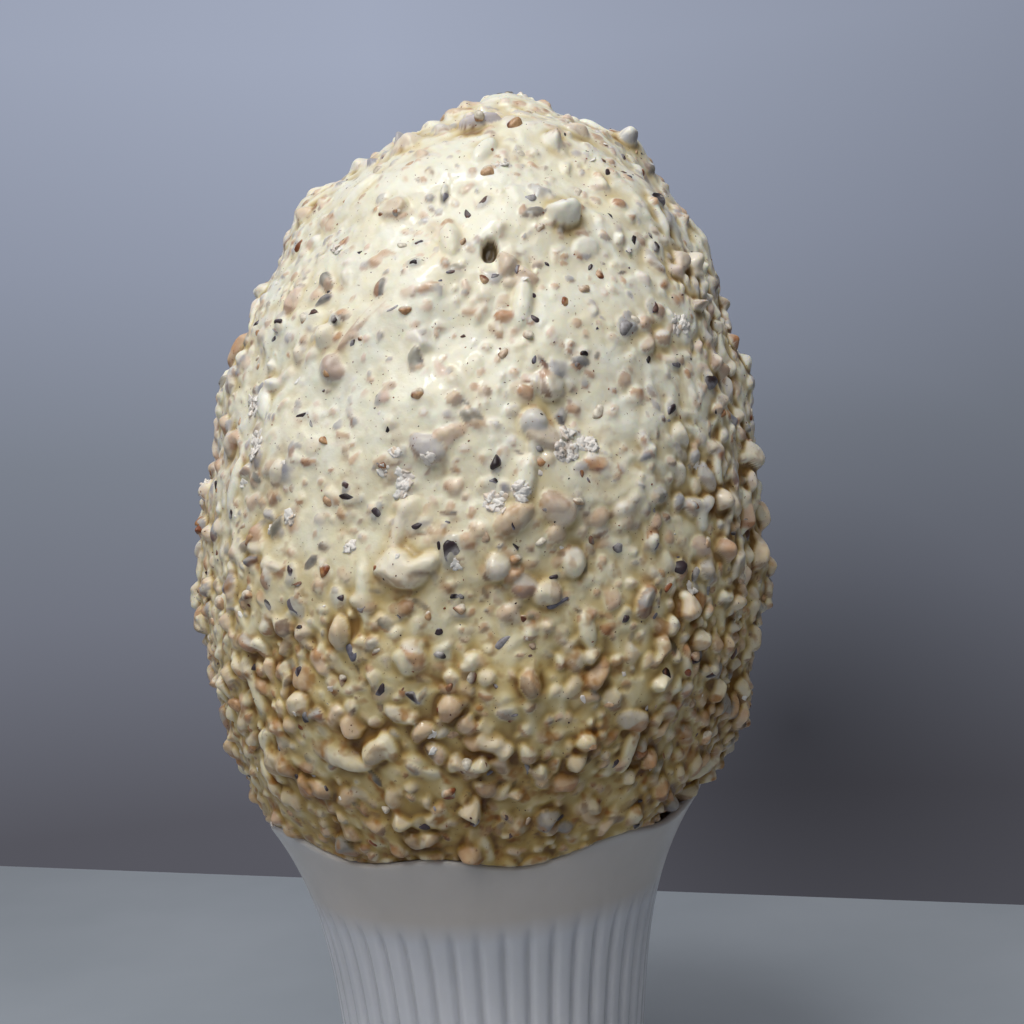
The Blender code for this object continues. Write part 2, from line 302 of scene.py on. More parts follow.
def grid_faces(rows, columns, closed):
    """Quads of a grid of points, row by row; a closed grid joins its last column to its first."""
    row, column = np.meshgrid(np.arange(rows - 1), np.arange(columns if closed else columns - 1),
                              indexing="ij")
    beside = (column + 1) % columns
    corners = [row * columns + column, row * columns + beside,
               (row + 1) * columns + beside, (row + 1) * columns + column]
    return np.stack(corners, axis=-1).reshape(-1, 4)


def mesh_from_arrays(name, finish, points, quads=(), triangles=()):
    """A smooth mesh object from arrays of points, quads and triangles."""
    quads = np.asarray(quads, dtype=np.int32).reshape(-1, 4)
    triangles = np.asarray(triangles, dtype=np.int32).reshape(-1, 3)
    mesh = bpy.data.meshes.new(name)
    mesh.vertices.add(len(points))
    mesh.vertices.foreach_set("co", np.asarray(points, dtype=np.float32).ravel())
    corners = np.concatenate([quads.ravel(), triangles.ravel()])
    sizes = np.concatenate([np.full(len(quads), 4), np.full(len(triangles), 3)])
    mesh.loops.add(len(corners))
    mesh.loops.foreach_set("vertex_index", corners)
    mesh.polygons.add(len(sizes))
    mesh.polygons.foreach_set("loop_start", np.cumsum(sizes) - sizes)
    mesh.update(calc_edges=True)
    mesh.polygons.foreach_set("use_smooth", np.ones(len(sizes), dtype=bool))
    mesh.materials.append(finish)
    piece = bpy.data.objects.new(name, mesh)
    bpy.context.scene.collection.objects.link(piece)
    return piece


def make_vase(finish):
    """The glass as rings: from the middle of its underside up the outside, over the lip, down to its floor."""
    turn = RIB_PHASE + np.linspace(0.0, 2.0 * math.pi, RIB_COUNT * RIB_COLUMNS, endpoint=False)
    rounding = np.linspace(0.0, math.pi / 2.0, ROUNDING_STEPS)
    lip = np.linspace(0.0, math.pi, LIP_STEPS)[1:-1]
    half = GLASS_THICKNESS / 2.0
    shoulder = VASE_HEIGHT - half
    heights = np.concatenate([
        BASE_ROUNDING * (1.0 - np.cos(rounding)),
        np.linspace(BASE_ROUNDING, shoulder, WALL_STEPS)[1:],
        shoulder + half * np.sin(lip),
        np.linspace(shoulder, FLOOR_THICKNESS + FLOOR_ROUNDING, WALL_STEPS // 2),
        FLOOR_THICKNESS + FLOOR_ROUNDING * (1.0 - np.sin(rounding[1:])),
    ])[:, None]
    insets = np.concatenate([
        BASE_ROUNDING * (1.0 - np.sin(rounding)),
        np.zeros(WALL_STEPS - 1),
        half * (1.0 - np.cos(lip)),
        np.full(WALL_STEPS // 2, GLASS_THICKNESS),
        GLASS_THICKNESS + FLOOR_ROUNDING * (1.0 - np.cos(rounding[1:])),
    ])[:, None]
    outside = np.arange(len(heights))[:, None] < ROUNDING_STEPS + WALL_STEPS - 1
    level = waved(turn, heights)
    radius = outer_radius(level) - insets - np.where(outside, rib_inset(turn, heights), 0.0)
    rows, columns = radius.shape
    middles = [[0.0, 0.0, 0.0], [0.0, 0.0, FLOOR_THICKNESS]]
    points = np.concatenate([around(radius, turn, level).reshape(-1, 3), middles])
    here = np.arange(columns)
    beside = (here + 1) % columns
    last = (rows - 1) * columns
    under = np.stack([np.full(columns, rows * columns), beside, here], axis=-1)
    floor = np.stack([np.full(columns, rows * columns + 1), last + here, last + beside], axis=-1)
    return mesh_from_arrays("milk_glass_vase", finish, points, grid_faces(rows, columns, True),
                            np.concatenate([under, floor]))


def height_share(tree, top):
    """Height above the table, as a share of a top height."""
    place = add_node(tree, "ShaderNodeTexCoord")
    split = add_node(tree, "ShaderNodeSeparateXYZ")
    set_inputs(split, Vector=place.outputs["Object"])
    return reckoned("MULTIPLY", split.outputs["Z"], 1.0 / top)


def roughen(shader, pattern, strength, depth):
    """Tilts a shader's surface by the slopes of a pattern."""
    bump = add_node(shader.id_data, "ShaderNodeBump")
    set_inputs(bump, Strength=strength, Distance=depth, Height=pattern)
    set_inputs(shader, Normal=bump.outputs["Normal"])


def milk_glass():
    """Opal glass: cool white, light spread inside it, a smooth gloss, a faint cloudiness, and painted warm
    light from the chocolate above the ribs.
    """
    finish, tree, shader = new_material("milk_glass")
    clouds = colour_ramp(noise_texture(tree, scale=60.0, detail=3.0), GLASS_TONES)
    # Painted warm light from the chocolate, above the ribs.
    warm_light_tint = times(clouds, colour_ramp(height_share(tree, LIP_WARM_LIGHT_TOP), LIP_WARM_LIGHT_TONES))
    roughen(shader, noise_texture(tree, scale=220.0), strength=0.12, depth=0.3 * MM)
    set_inputs(shader, Base_Color=warm_light_tint, Roughness=0.22, IOR=1.5, Subsurface_Weight=0.8,
               Subsurface_Scale=6.0 * MM, Subsurface_Radius=(1.0, 1.0, 1.1))
    return finish


vase = make_vase(milk_glass())
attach(vase, "root")
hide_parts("vase")


# ---------------------------------------------------------------- coating
# White chocolate poured over chopped nuts: it lies in smooth pools between them and climbs their sides.
# Under it the egg is a half ellipse drawn in at its tip and a fuller half below, with slow lumps. Its
# skin is six curved square grids, as on a cube blown up to the egg, pushed out by every nut under it.
EGG_RADIUS = 65.5 * MM
EGG_UPPER = 113.4 * MM
EGG_LOWER = 87.0 * MM
EGG_LEAN = math.radians(5.4)
LIP_TO_WIDEST = 58.9 * MM
LIP_TO_PIVOT = 21.3 * MM
UNDER_POWER = 2.1
TIP_NARROWING = 0.5
TIP_POWER = 9
TIP_SIDE = 0.2
TIP_SIDE_POWER = 5
LUMP_HEIGHT = 0.8 * MM
LUMP_LENGTH = 24.0 * MM
LUMP_WAVES = 9
SEAM_ANGLE = math.radians(64.0)
SEAM_DEPTH = 2.0 * MM
SEAM_WIDTH = 6.0 * MM
# Single swellings and hollows: latitude, turn, height and width, in degrees and millimetres.
SWELLINGS = (
    (66.0, -80.0, -4.2, 8.0),
    (46.0, -76.0, 2.8, 5.5),
    (35.0, -76.0, -2.4, 5.0),
    (26.0, -76.0, -2.0, 5.0),
    (19.5, -78.0, 1.5, 7.0),
    (11.0, -76.0, -1.2, 4.0),
    (-5.0, -78.0, 1.4, 7.0),
    (59.5, 72.0, 4.0, 5.5),
    (48.0, 76.0, 1.0, 6.0),
    (42.0, 78.0, 1.8, 4.5),
    (29.0, 78.0, -1.8, 6.0),
    (23.0, 78.0, 1.6, 4.5),
    (9.5, 78.0, -1.5, 6.0),
    (1.5, 78.0, 2.0, 5.0),
    (-24.0, 78.0, 3.2, 7.0),
    (-42.0, 66.0, -4.5, 10.0),
)
SEED = 11
GOLDEN_TURN = math.pi * (3.0 - math.sqrt(5.0))
SLOPE_STEP = 1e-4
OUTLINE_STEPS = 2000
NOISE_VALUES = 4096
NOISE_PRIMES = (73856093, 19349663, 83492791)


def any_spin(draw, count):
    """Angles drawn from the whole turn."""
    return draw.uniform(0.0, 2.0 * math.pi, count)


def unit(vectors):
    """Vectors brought to a length of one."""
    return vectors / np.linalg.norm(vectors, axis=-1, keepdims=True)


def blended(first, second, share):
    """From the first to the second, by a share for each point."""
    return first * (1.0 - share[..., None]) + second * share[..., None]


lump_phases = any_spin(np.random.default_rng(SEED), LUMP_WAVES)
lean = np.array(Euler((0.0, EGG_LEAN, 0.0)).to_matrix())
egg_centre = [0.0, 0.0, VASE_HEIGHT + LIP_TO_PIVOT] + lean @ [0.0, 0.0, LIP_TO_WIDEST - LIP_TO_PIVOT]


def to_world(points):
    """From the egg's own frame, upright about its widest level, to its place in the lip."""
    return points @ lean.T + egg_centre


def egg_outline(latitude):
    """Radius and height of the round egg: a half ellipse drawn in at its tip, and a fuller half below."""
    sine, cosine = np.sin(latitude), np.cos(latitude)
    narrowing = 1.0 - TIP_NARROWING * np.clip(sine, 0.0, 1.0) ** TIP_POWER
    under = (1.0 - np.clip(-sine, 0.0, 1.0) ** UNDER_POWER) ** (1.0 / UNDER_POWER)
    height = np.where(sine > 0.0, EGG_UPPER, EGG_LOWER) * sine
    return EGG_RADIUS * np.where(sine > 0.0, cosine * narrowing, under), height


def plain_egg(latitude, turn):
    """Points of the egg without lumps: round at its widest level, and fuller to one side near its tip."""
    radius, height = egg_outline(latitude)
    lopsided = 1.0 + TIP_SIDE * np.clip(np.sin(latitude), 0.0, 1.0) ** TIP_SIDE_POWER * np.sin(turn)
    return around(radius * lopsided, turn, height)


def outward(latitude, turn):
    """Unit direction square to the round egg, from the slope of its outline."""
    latitude = np.clip(latitude, SLOPE_STEP - math.pi / 2.0, math.pi / 2.0 - SLOPE_STEP)
    radius_below, height_below = egg_outline(latitude - SLOPE_STEP)
    radius_above, height_above = egg_outline(latitude + SLOPE_STEP)
    run, climb = radius_above - radius_below, height_above - height_below
    length = np.hypot(run, climb)
    return around(climb / length, turn, -run / length)


def egg_surface(latitude, turn):
    """The lumpy egg under its nuts: plain egg, sum of nine plane waves, swellings, and the seam's valley."""
    plain = plain_egg(latitude, turn)
    swell = np.zeros(plain.shape[:-1])
    for index in range(LUMP_WAVES):
        up = 1.0 - 2.0 * (index + 0.5) / LUMP_WAVES
        side = math.sqrt(1.0 - up * up)
        way = np.array([side * math.cos(index * GOLDEN_TURN), side * math.sin(index * GOLDEN_TURN), up])
        swell += np.sin(plain @ way * (2.0 * math.pi / LUMP_LENGTH) + lump_phases[index])
    swell *= LUMP_HEIGHT / math.sqrt(LUMP_WAVES)
    across = plain[..., 0] * math.cos(SEAM_ANGLE) + plain[..., 1] * math.sin(SEAM_ANGLE)
    swell -= SEAM_DEPTH * np.exp(-(across / SEAM_WIDTH) ** 2)
    for bump_latitude, bump_turn, height, width in SWELLINGS:
        middle = plain_egg(math.radians(bump_latitude), math.radians(bump_turn))
        away = np.linalg.norm(plain - middle, axis=-1)
        swell += height * MM * np.exp(-0.5 * (away / (width * MM)) ** 2)
    return plain + outward(latitude, turn) * swell[..., None]


def spread_places(count):
    """Latitudes and turns spread evenly over the egg: equal areas up the egg, golden angle round it."""
    fine = np.linspace(-math.pi / 2.0, math.pi / 2.0, OUTLINE_STEPS)
    radius, height = egg_outline(fine)
    strip = np.hypot(np.diff(radius), np.diff(height)) * (radius[1:] + radius[:-1])
    area = np.concatenate([[0.0], np.cumsum(strip)])
    share = (np.arange(count) + 0.5) / count
    return np.interp(share * area[-1], area, fine), np.arange(count) * GOLDEN_TURN


def strewn(draw, count, rise, drift, steepest=1.5, evened=False):
    """Spread places, moved up and round by random shares of a rise and a drift.

    An evened drift is divided by the egg's girth there, so that it is as long near the tip as elsewhere.
    """
    latitude, turn = spread_places(count)
    latitude = np.clip(latitude + rise * draw.uniform(-1.0, 1.0, count), -steepest, steepest)
    girth = np.clip(np.cos(latitude), 0.2, 1.0) if evened else 1.0
    return latitude, turn + drift * draw.uniform(-1.0, 1.0, count) / girth


def value_noise(points, length, seed):
    """Smooth noise from -1 to 1: random values on a lattice of the given length, blended by S-curves."""
    table = np.random.default_rng(seed).uniform(-1.0, 1.0, NOISE_VALUES)
    scaled = points / length
    cell = np.floor(scaled).astype(np.int64)
    share = smooth(scaled - cell, 0.0, 1.0)
    total = np.zeros(points.shape[:-1])
    for corner in range(8):
        step = np.array([corner & 1, (corner >> 1) & 1, corner >> 2])
        x, y, z = ((cell[..., axis] + step[axis]) * NOISE_PRIMES[axis] for axis in range(3))
        total += table[(x ^ y ^ z) % NOISE_VALUES] * np.prod(np.where(step == 1, share, 1.0 - share), axis=-1)
    return total


def bumps(points, rows):
    """Sum of noises, each given by its height, length and seed."""
    return sum(height * value_noise(points, length, seed) for height, length, seed in rows)


def smooth_max(first, second, blend):
    """The larger of two heights, with the corner between them filled by a round of the blend's size."""
    near = np.clip(blend - np.abs(first - second), 0.0, None)
    return np.maximum(first, second) + near * near / (4.0 * blend)


def turned_frames(draw, count):
    """Random rotations from random unit quaternions."""
    w, x, y, z = unit(draw.normal(size=(count, 4))).T
    return np.stack([
        np.stack([1 - 2 * (y * y + z * z), 2 * (x * y - z * w), 2 * (x * z + y * w)], axis=-1),
        np.stack([2 * (x * y + z * w), 1 - 2 * (x * x + z * z), 2 * (y * z - x * w)], axis=-1),
        np.stack([2 * (x * z - y * w), 2 * (y * z + x * w), 1 - 2 * (x * x + y * y)], axis=-1),
    ], axis=1)


def level_way(turn):
    """Level direction along the egg's side, towards larger turns."""
    return np.stack([np.cos(turn), np.sin(turn), np.zeros_like(turn)], axis=-1)


def spun_frames(up, level, spin):
    """Rotations whose third axis points up; the spin turns the first axis from level towards the tip."""
    first = level * np.cos(spin)[:, None] + np.cross(up, level) * np.sin(spin)[:, None]
    return np.stack([first, np.cross(up, first), up], axis=-1)


def surface_frames(latitude, turn, spin):
    """Rotations whose third axis is square to the egg."""
    return spun_frames(outward(latitude, turn), level_way(turn), spin)


# The nuts under the chocolate are of five kinds: thickly coated, thinly filmed, with filmed skin, a dark chip
# that leaves its colour, and a pit where a nut fell out, painted near black inside as shade.
COATED, FILMED, SKIN, CHIP, PIT = range(5)
LARGE_NUT_COUNT = 190
LARGE_NUT_SIZES = (5.2 * MM, 8.0 * MM)
NUT_RISE = -0.14
NUT_SHIFT = 0.30
NUT_LIP_GAP = 0.6 * MM
LARGE_KIND_SHARES = (0.6, 0.3, 0.1)
SOLID_CORNER_DRAWS = 12
SMALL_NUT_COUNT = 9600
SMALL_NUT_SHIFT = 0.8
SMALL_NUT_MEDIAN = 3.7 * MM
SMALL_NUT_SPREAD = 0.40
SMALL_NUT_LARGEST = 6.8 * MM
SMALL_NUT_SMALLEST = 1.3 * MM
SMALL_NUT_STEEPEST = 1.55
SMALL_NUT_RISES = (-0.26, 0.20)
CALM_SINK = 0.26
CHIP_RISES = (0.05, 0.22)
# The chance that a small nut stays: its mean, how far noise and height change it, and the cut in the calm.
CHANCE = 0.68
CHANCE_CHANGE = 0.30
CHANCE_NOISE = (30.0 * MM, 8)
CALM_CUT = 0.3
SMALL_KIND_SHARES = (0.40, 0.40, 0.14, 0.06)
CRUMB_SHARE = 0.25
CRUMB_SIZES = (1.0 * MM, 1.9 * MM)
CHIP_SHARE_OF_SIZE = 0.62
NUT_PLANES = 12
NUT_PLANE_REACH = (0.34, 0.92)
# How much of a nut's colour shows, by kind: the least, and how much more at most.
KIND_SHOWS = ((0.05, 0.25), (0.30, 0.65), (0.55, 0.45), (0.60, 0.35), (1.0, 0.0))
FLESH_TONES = ((0.74, 0.55, 0.48), (0.69, 0.48, 0.34), (0.57, 0.33, 0.18), (0.42, 0.19, 0.09))
SKIN_FILM = ((0.54, 0.50, 0.53), (0.28, 0.29, 0.36))
CHIP_FILM = ((0.045, 0.032, 0.035), (0.11, 0.11, 0.145))
# Brown skin on the side that mostly lies down; a few nuts have a white crust on top in its place.
NUT_SKINS = ((0.44, 0.17, 0.05), (0.26, 0.08, 0.03), (0.09, 0.04, 0.04))
SKIN_SPREAD = 0.6
SKINNED_SHARE = 0.72
SKIN_SHOWS = (0.6, 1.0)
SKIN_EDGES = (0.12, 0.38)
WHITE_CRUST = (0.88, 0.87, 0.85)
WHITE_SHARE = 0.07
WHITE_WAY = np.array([0.0, -0.3, 0.95])
WHITE_SHOWS = 0.85
WHITE_EDGE = 0.20
NUT_BLENDS = (0.8, 2.2)
CHIP_BLEND = 0.3 * MM
NUT_WEAR = (0.03, 0.08)
CHIP_WEAR = 0.02
# The chocolate lies smooth in the upper middle of the front, and roughest on the right, between these turns.
CALM_TURN = math.radians(-8.0)
CALM_WIDTH = math.radians(44.0)
CALM_FOOT = (-0.30, 0.15)
CALM_SHOULDER = (0.75, 1.05)
SHOULDER_LOSS = 0.6
TIP_CALM = 0.25
TIP_START = (0.7, 1.1)
ROUGH_TURNS = (0.6, 1.1, 1.8, 2.4)
ROUGH_TOP = (0.5, 0.9)
ROUGHNESS_THERE = 0.35


def blend_tones(tones, share):
    """Colours along a row of tones."""
    tones = np.array(tones)
    place = np.clip(share, 0.0, 0.9999) * (len(tones) - 1)
    low = place.astype(int)
    return tones[low] + (tones[low + 1] - tones[low]) * (place - low)[..., None]


def calmness(latitude, turn):
    """How smooth the chocolate lies: up to 1 in the upper middle of the front, and below 0 on the right."""
    aside = (turn - CALM_TURN + math.pi) % (2.0 * math.pi) - math.pi
    front = np.exp(-(aside / CALM_WIDTH) ** 2) * smooth(latitude, *CALM_FOOT)
    front = front * (1.0 - SHOULDER_LOSS * smooth(latitude, *CALM_SHOULDER))
    right = smooth(aside, *ROUGH_TURNS[:2]) * (1.0 - smooth(aside, *ROUGH_TURNS[2:]))
    rough = ROUGHNESS_THERE * right * (1.0 - smooth(latitude, *ROUGH_TOP))
    return np.maximum(front, TIP_CALM * smooth(latitude, *TIP_START)) - rough


def random_ways(draw, *shape):
    """Unit directions drawn evenly over the sphere."""
    return unit(draw.normal(size=(*shape, 3)))


def skewed(draw, count, sizes, power):
    """Sizes drawn from a range, the small ones more often, by a power of the chance."""
    return sizes[0] + (sizes[1] - sizes[0]) * draw.uniform(size=count) ** power


def table_columns(table):
    """The columns of a table as arrays."""
    return [np.array(column) for column in zip(*table)]


def stretches(draw, count, length, widths, heights):
    """Sizes along, across and up, as shares of a chunk's size: fixed where one number is given, or drawn."""
    columns = [draw.uniform(*share, count) if isinstance(share, tuple) else np.full(count, share)
               for share in (length, widths, heights)]
    return np.stack(columns, axis=-1)


def nut_rows(draw, latitude, turn, size, kind, stretch, turned, rise):
    """A table of nuts: where they lie, their half sizes and turns, cutting planes, and colours by kind."""
    count = len(size)
    normals = random_ways(draw, count, NUT_PLANES)
    tone = draw.uniform(size=count)
    colour = blend_tones(FLESH_TONES, tone)
    colour[kind == SKIN] = blend_tones(SKIN_FILM, tone[kind == SKIN])
    colour[kind >= CHIP] = blend_tones(CHIP_FILM, tone[kind >= CHIP] ** 2)
    skin = unit(SKIN_SPREAD * draw.normal(size=(count, 3)) + [0.0, 0.0, -1.0])
    skin = np.einsum("ni,nij->nj", skin, turned)
    least, more = np.array(KIND_SHOWS)[kind].T
    bare = least + more * np.where(kind == FILMED, draw.uniform(size=count), tone)
    skin_share = np.where(draw.uniform(size=count) < SKINNED_SHARE, draw.uniform(*SKIN_SHOWS, count), 0.0)
    skin_colour = blend_tones(NUT_SKINS, draw.uniform(size=count))
    white = draw.uniform(size=count) < WHITE_SHARE
    skin[white] = WHITE_WAY @ turned[white]
    skin_share[white], skin_colour[white] = WHITE_SHOWS, WHITE_CRUST
    return dict(place=egg_surface(latitude, turn) + outward(latitude, turn) * (rise * size)[:, None],
                half=stretch * size[:, None] / 2.0, turned=turned, size=size, kind=kind,
                normals=normals, reach=draw.uniform(*NUT_PLANE_REACH, (count, NUT_PLANES)),
                colour=colour, bare=bare, skin=skin, skin_share=skin_share, skin_colour=skin_colour,
                skin_edge=np.where(white, WHITE_EDGE, draw.uniform(*SKIN_EDGES, count)),
                wear=np.where(kind == CHIP, CHIP_WEAR, draw.uniform(*NUT_WEAR, count)),
                blend=np.where(kind == CHIP, CHIP_BLEND, draw.uniform(*NUT_BLENDS, count) * MM))


def large_nuts():
    """The frame's own nuts by its drawing rule, which also draws the lumps' phases and each nut's corners."""
    draw = np.random.default_rng(SEED)
    any_spin(draw, LUMP_WAVES)
    spacing = math.sqrt(4.0 * math.pi / LARGE_NUT_COUNT)
    rows = []
    for latitude, turn in zip(*spread_places(LARGE_NUT_COUNT)):
        latitude = latitude + NUT_SHIFT * spacing * draw.uniform(-0.5, 0.5)
        turn = turn + NUT_SHIFT * spacing * draw.uniform(-0.5, 0.5)
        size = skewed(draw, None, LARGE_NUT_SIZES, 2)
        draw.uniform(-1.0, 1.0, SOLID_CORNER_DRAWS)
        stretch = (1.0, draw.uniform(0.7, 1.0), draw.uniform(0.6, 0.9))
        rows.append((latitude, turn, size, stretch, np.array(Euler(any_spin(draw, 3)).to_matrix())))
    latitude, turn, size, stretch, turned = table_columns(rows)
    draw = np.random.default_rng(SEED + 2)
    kind = draw.choice(len(LARGE_KIND_SHARES), LARGE_NUT_COUNT, p=LARGE_KIND_SHARES)
    nuts = nut_rows(draw, latitude, turn, size, kind, stretch, turned, NUT_RISE)
    world = to_world(nuts["place"])
    edge = VASE_HEIGHT + lip_lift(np.arctan2(world[:, 0], -world[:, 1]))
    above = world[:, 2] - size / 2.0 > edge + NUT_LIP_GAP
    return {key: value[above] for key, value in nuts.items()}


def small_nuts():
    """Smaller nuts, spread with some disorder; slow noise and the calm chocolate thin them out."""
    draw = np.random.default_rng(SEED + 1)
    count = SMALL_NUT_COUNT
    shift = SMALL_NUT_SHIFT * math.sqrt(4.0 * math.pi / count)
    latitude, turn = strewn(draw, count, shift, shift, SMALL_NUT_STEEPEST, evened=True)
    size = SMALL_NUT_MEDIAN * np.exp(SMALL_NUT_SPREAD * draw.normal(size=count))
    size = np.clip(size, SMALL_NUT_SMALLEST, SMALL_NUT_LARGEST)
    kind = draw.choice(len(SMALL_KIND_SHARES), count, p=SMALL_KIND_SHARES)
    chips = kind == CHIP
    size = np.where(chips, size * CHIP_SHARE_OF_SIZE, size)
    size = np.where(draw.uniform(size=count) < CRUMB_SHARE, draw.uniform(*CRUMB_SIZES, count), size)
    stretch = stretches(draw, count, length=1.05, widths=(0.62, 1.0), heights=(0.55, 0.95))
    stretch[chips] = stretches(draw, count, length=1.3, widths=(0.45, 0.9), heights=0.5)[chips]
    turned = turned_frames(draw, count)
    turned[chips] = surface_frames(latitude, turn, any_spin(draw, count))[chips]
    calm = calmness(latitude, turn)
    rise = draw.uniform(*SMALL_NUT_RISES, count) - CALM_SINK * calm
    rise[chips] = draw.uniform(*CHIP_RISES, count)[chips]
    nuts = nut_rows(draw, latitude, turn, size, kind, stretch, turned, rise)
    change = value_noise(nuts["place"], *CHANCE_NOISE) + smooth(-latitude, -0.5, 0.4)
    keep = draw.uniform(size=count) < (CHANCE + CHANCE_CHANGE * change) * (1.0 - CALM_CUT * calm)
    return {key: value[keep] for key, value in nuts.items()}


# Between the nuts the chocolate stands at a level, with swells and ripples by height, length and seed, and
# ridges along the noise's zero lines, whose places are pushed about by three more noises.
POOL_LEVEL = 0.35 * MM
POOL_SWELL = (0.60 * MM, 8.0 * MM, 3)
POOL_RIPPLE = (0.12 * MM, 1.5 * MM, 6)
RIDGE_HEIGHT = 0.75 * MM
RIDGE_LENGTH = 4.5 * MM
RIDGE_SEED = 4
WARP_HEIGHT = 2.5 * MM
WARP_LENGTH = 6.0 * MM
WARP_SEEDS = (21, 22, 23)
SHALLOW_COUNT = 3400
SHALLOW_SHIFT = 0.08
SHALLOW_SIZES = (1.6 * MM, 4.2 * MM)
SHALLOW_PROUD = (0.0 * MM, 0.55 * MM)
SHALLOW_KIND_SHARES = (0.0, 0.62, 0.38)
SHALLOW_SHOWS = (0.6, 1.0)
SHALLOW_BLENDS = (0.5, 1.2)
CALM_VEIL = 0.15
# The shares by which the reach of these bits' planes is shrunk and lengthened, so that they are less worn.
SHALLOW_PLANES = (0.5, 0.48)
RUN_COUNT = 60
RUN_LENGTHS = (6.0 * MM, 13.0 * MM)
RUN_WIDTH = 3.2 * MM
RUN_RISE = 0.1 * MM


def pool_height(core, latitude, turn):
    """Height of the chocolate between the nuts: its level, a slow swell, warped ridges, and fine ripples."""
    warp = WARP_HEIGHT * np.stack([value_noise(core, WARP_LENGTH, seed) for seed in WARP_SEEDS], axis=-1)
    ridges = 0.5 - np.abs(value_noise(core + warp, RIDGE_LENGTH, RIDGE_SEED))
    ridges = RIDGE_HEIGHT * (1.0 - 0.5 * calmness(latitude, turn)) * ridges
    return POOL_LEVEL + ridges + bumps(core, (POOL_SWELL, POOL_RIPPLE))


def shallow_bits():
    """Bits just under the chocolate's skin: flat, barely raised, and seen through it in their own colours."""
    draw = np.random.default_rng(SEED + 10)
    count = SHALLOW_COUNT
    latitude, turn = strewn(draw, count, SHALLOW_SHIFT, SHALLOW_SHIFT, evened=True)
    size = skewed(draw, count, SHALLOW_SIZES, 1.6)
    stretch = stretches(draw, count, length=1.0, widths=(0.5, 0.95), heights=(0.4, 0.7))
    turned = surface_frames(latitude, turn, any_spin(draw, count))
    level = pool_height(egg_surface(latitude, turn), latitude, turn)
    rise = (level + draw.uniform(*SHALLOW_PROUD, count)) / size - stretch[:, 2] / 2.0
    kind = draw.choice(len(SHALLOW_KIND_SHARES), count, p=SHALLOW_KIND_SHARES)
    bits = nut_rows(draw, latitude, turn, size, kind, stretch, turned, rise)
    bits["bare"] = draw.uniform(*SHALLOW_SHOWS, count) * (1.0 - CALM_VEIL * calmness(latitude, turn))
    bits["blend"] = draw.uniform(*SHALLOW_BLENDS, count) * MM
    bits["reach"] = bits["reach"] * SHALLOW_PLANES[0] + SHALLOW_PLANES[1]
    return bits


def chocolate_runs():
    """Narrow runs of chocolate that set as they slid down: long, low ridges, mostly upright."""
    draw = np.random.default_rng(SEED + 4)
    latitude, turn = strewn(draw, RUN_COUNT, rise=0.1, drift=0.3)
    size = draw.uniform(*RUN_LENGTHS, RUN_COUNT)
    width = RUN_WIDTH * draw.uniform(0.7, 1.3, RUN_COUNT) / size
    stretch = np.stack([np.ones(RUN_COUNT), width, 0.9 * width], axis=-1)
    turned = surface_frames(latitude, turn, math.pi / 2.0 + draw.uniform(-0.5, 0.5, RUN_COUNT))
    kind = np.full(RUN_COUNT, COATED)
    nuts = nut_rows(draw, latitude, turn, size, kind, stretch, turned, RUN_RISE / size)
    for key, value in (("bare", 0.0), ("blend", RUN_WIDTH), ("reach", 2.0), ("skin_share", 0.0)):
        nuts[key][:] = value
    return nuts


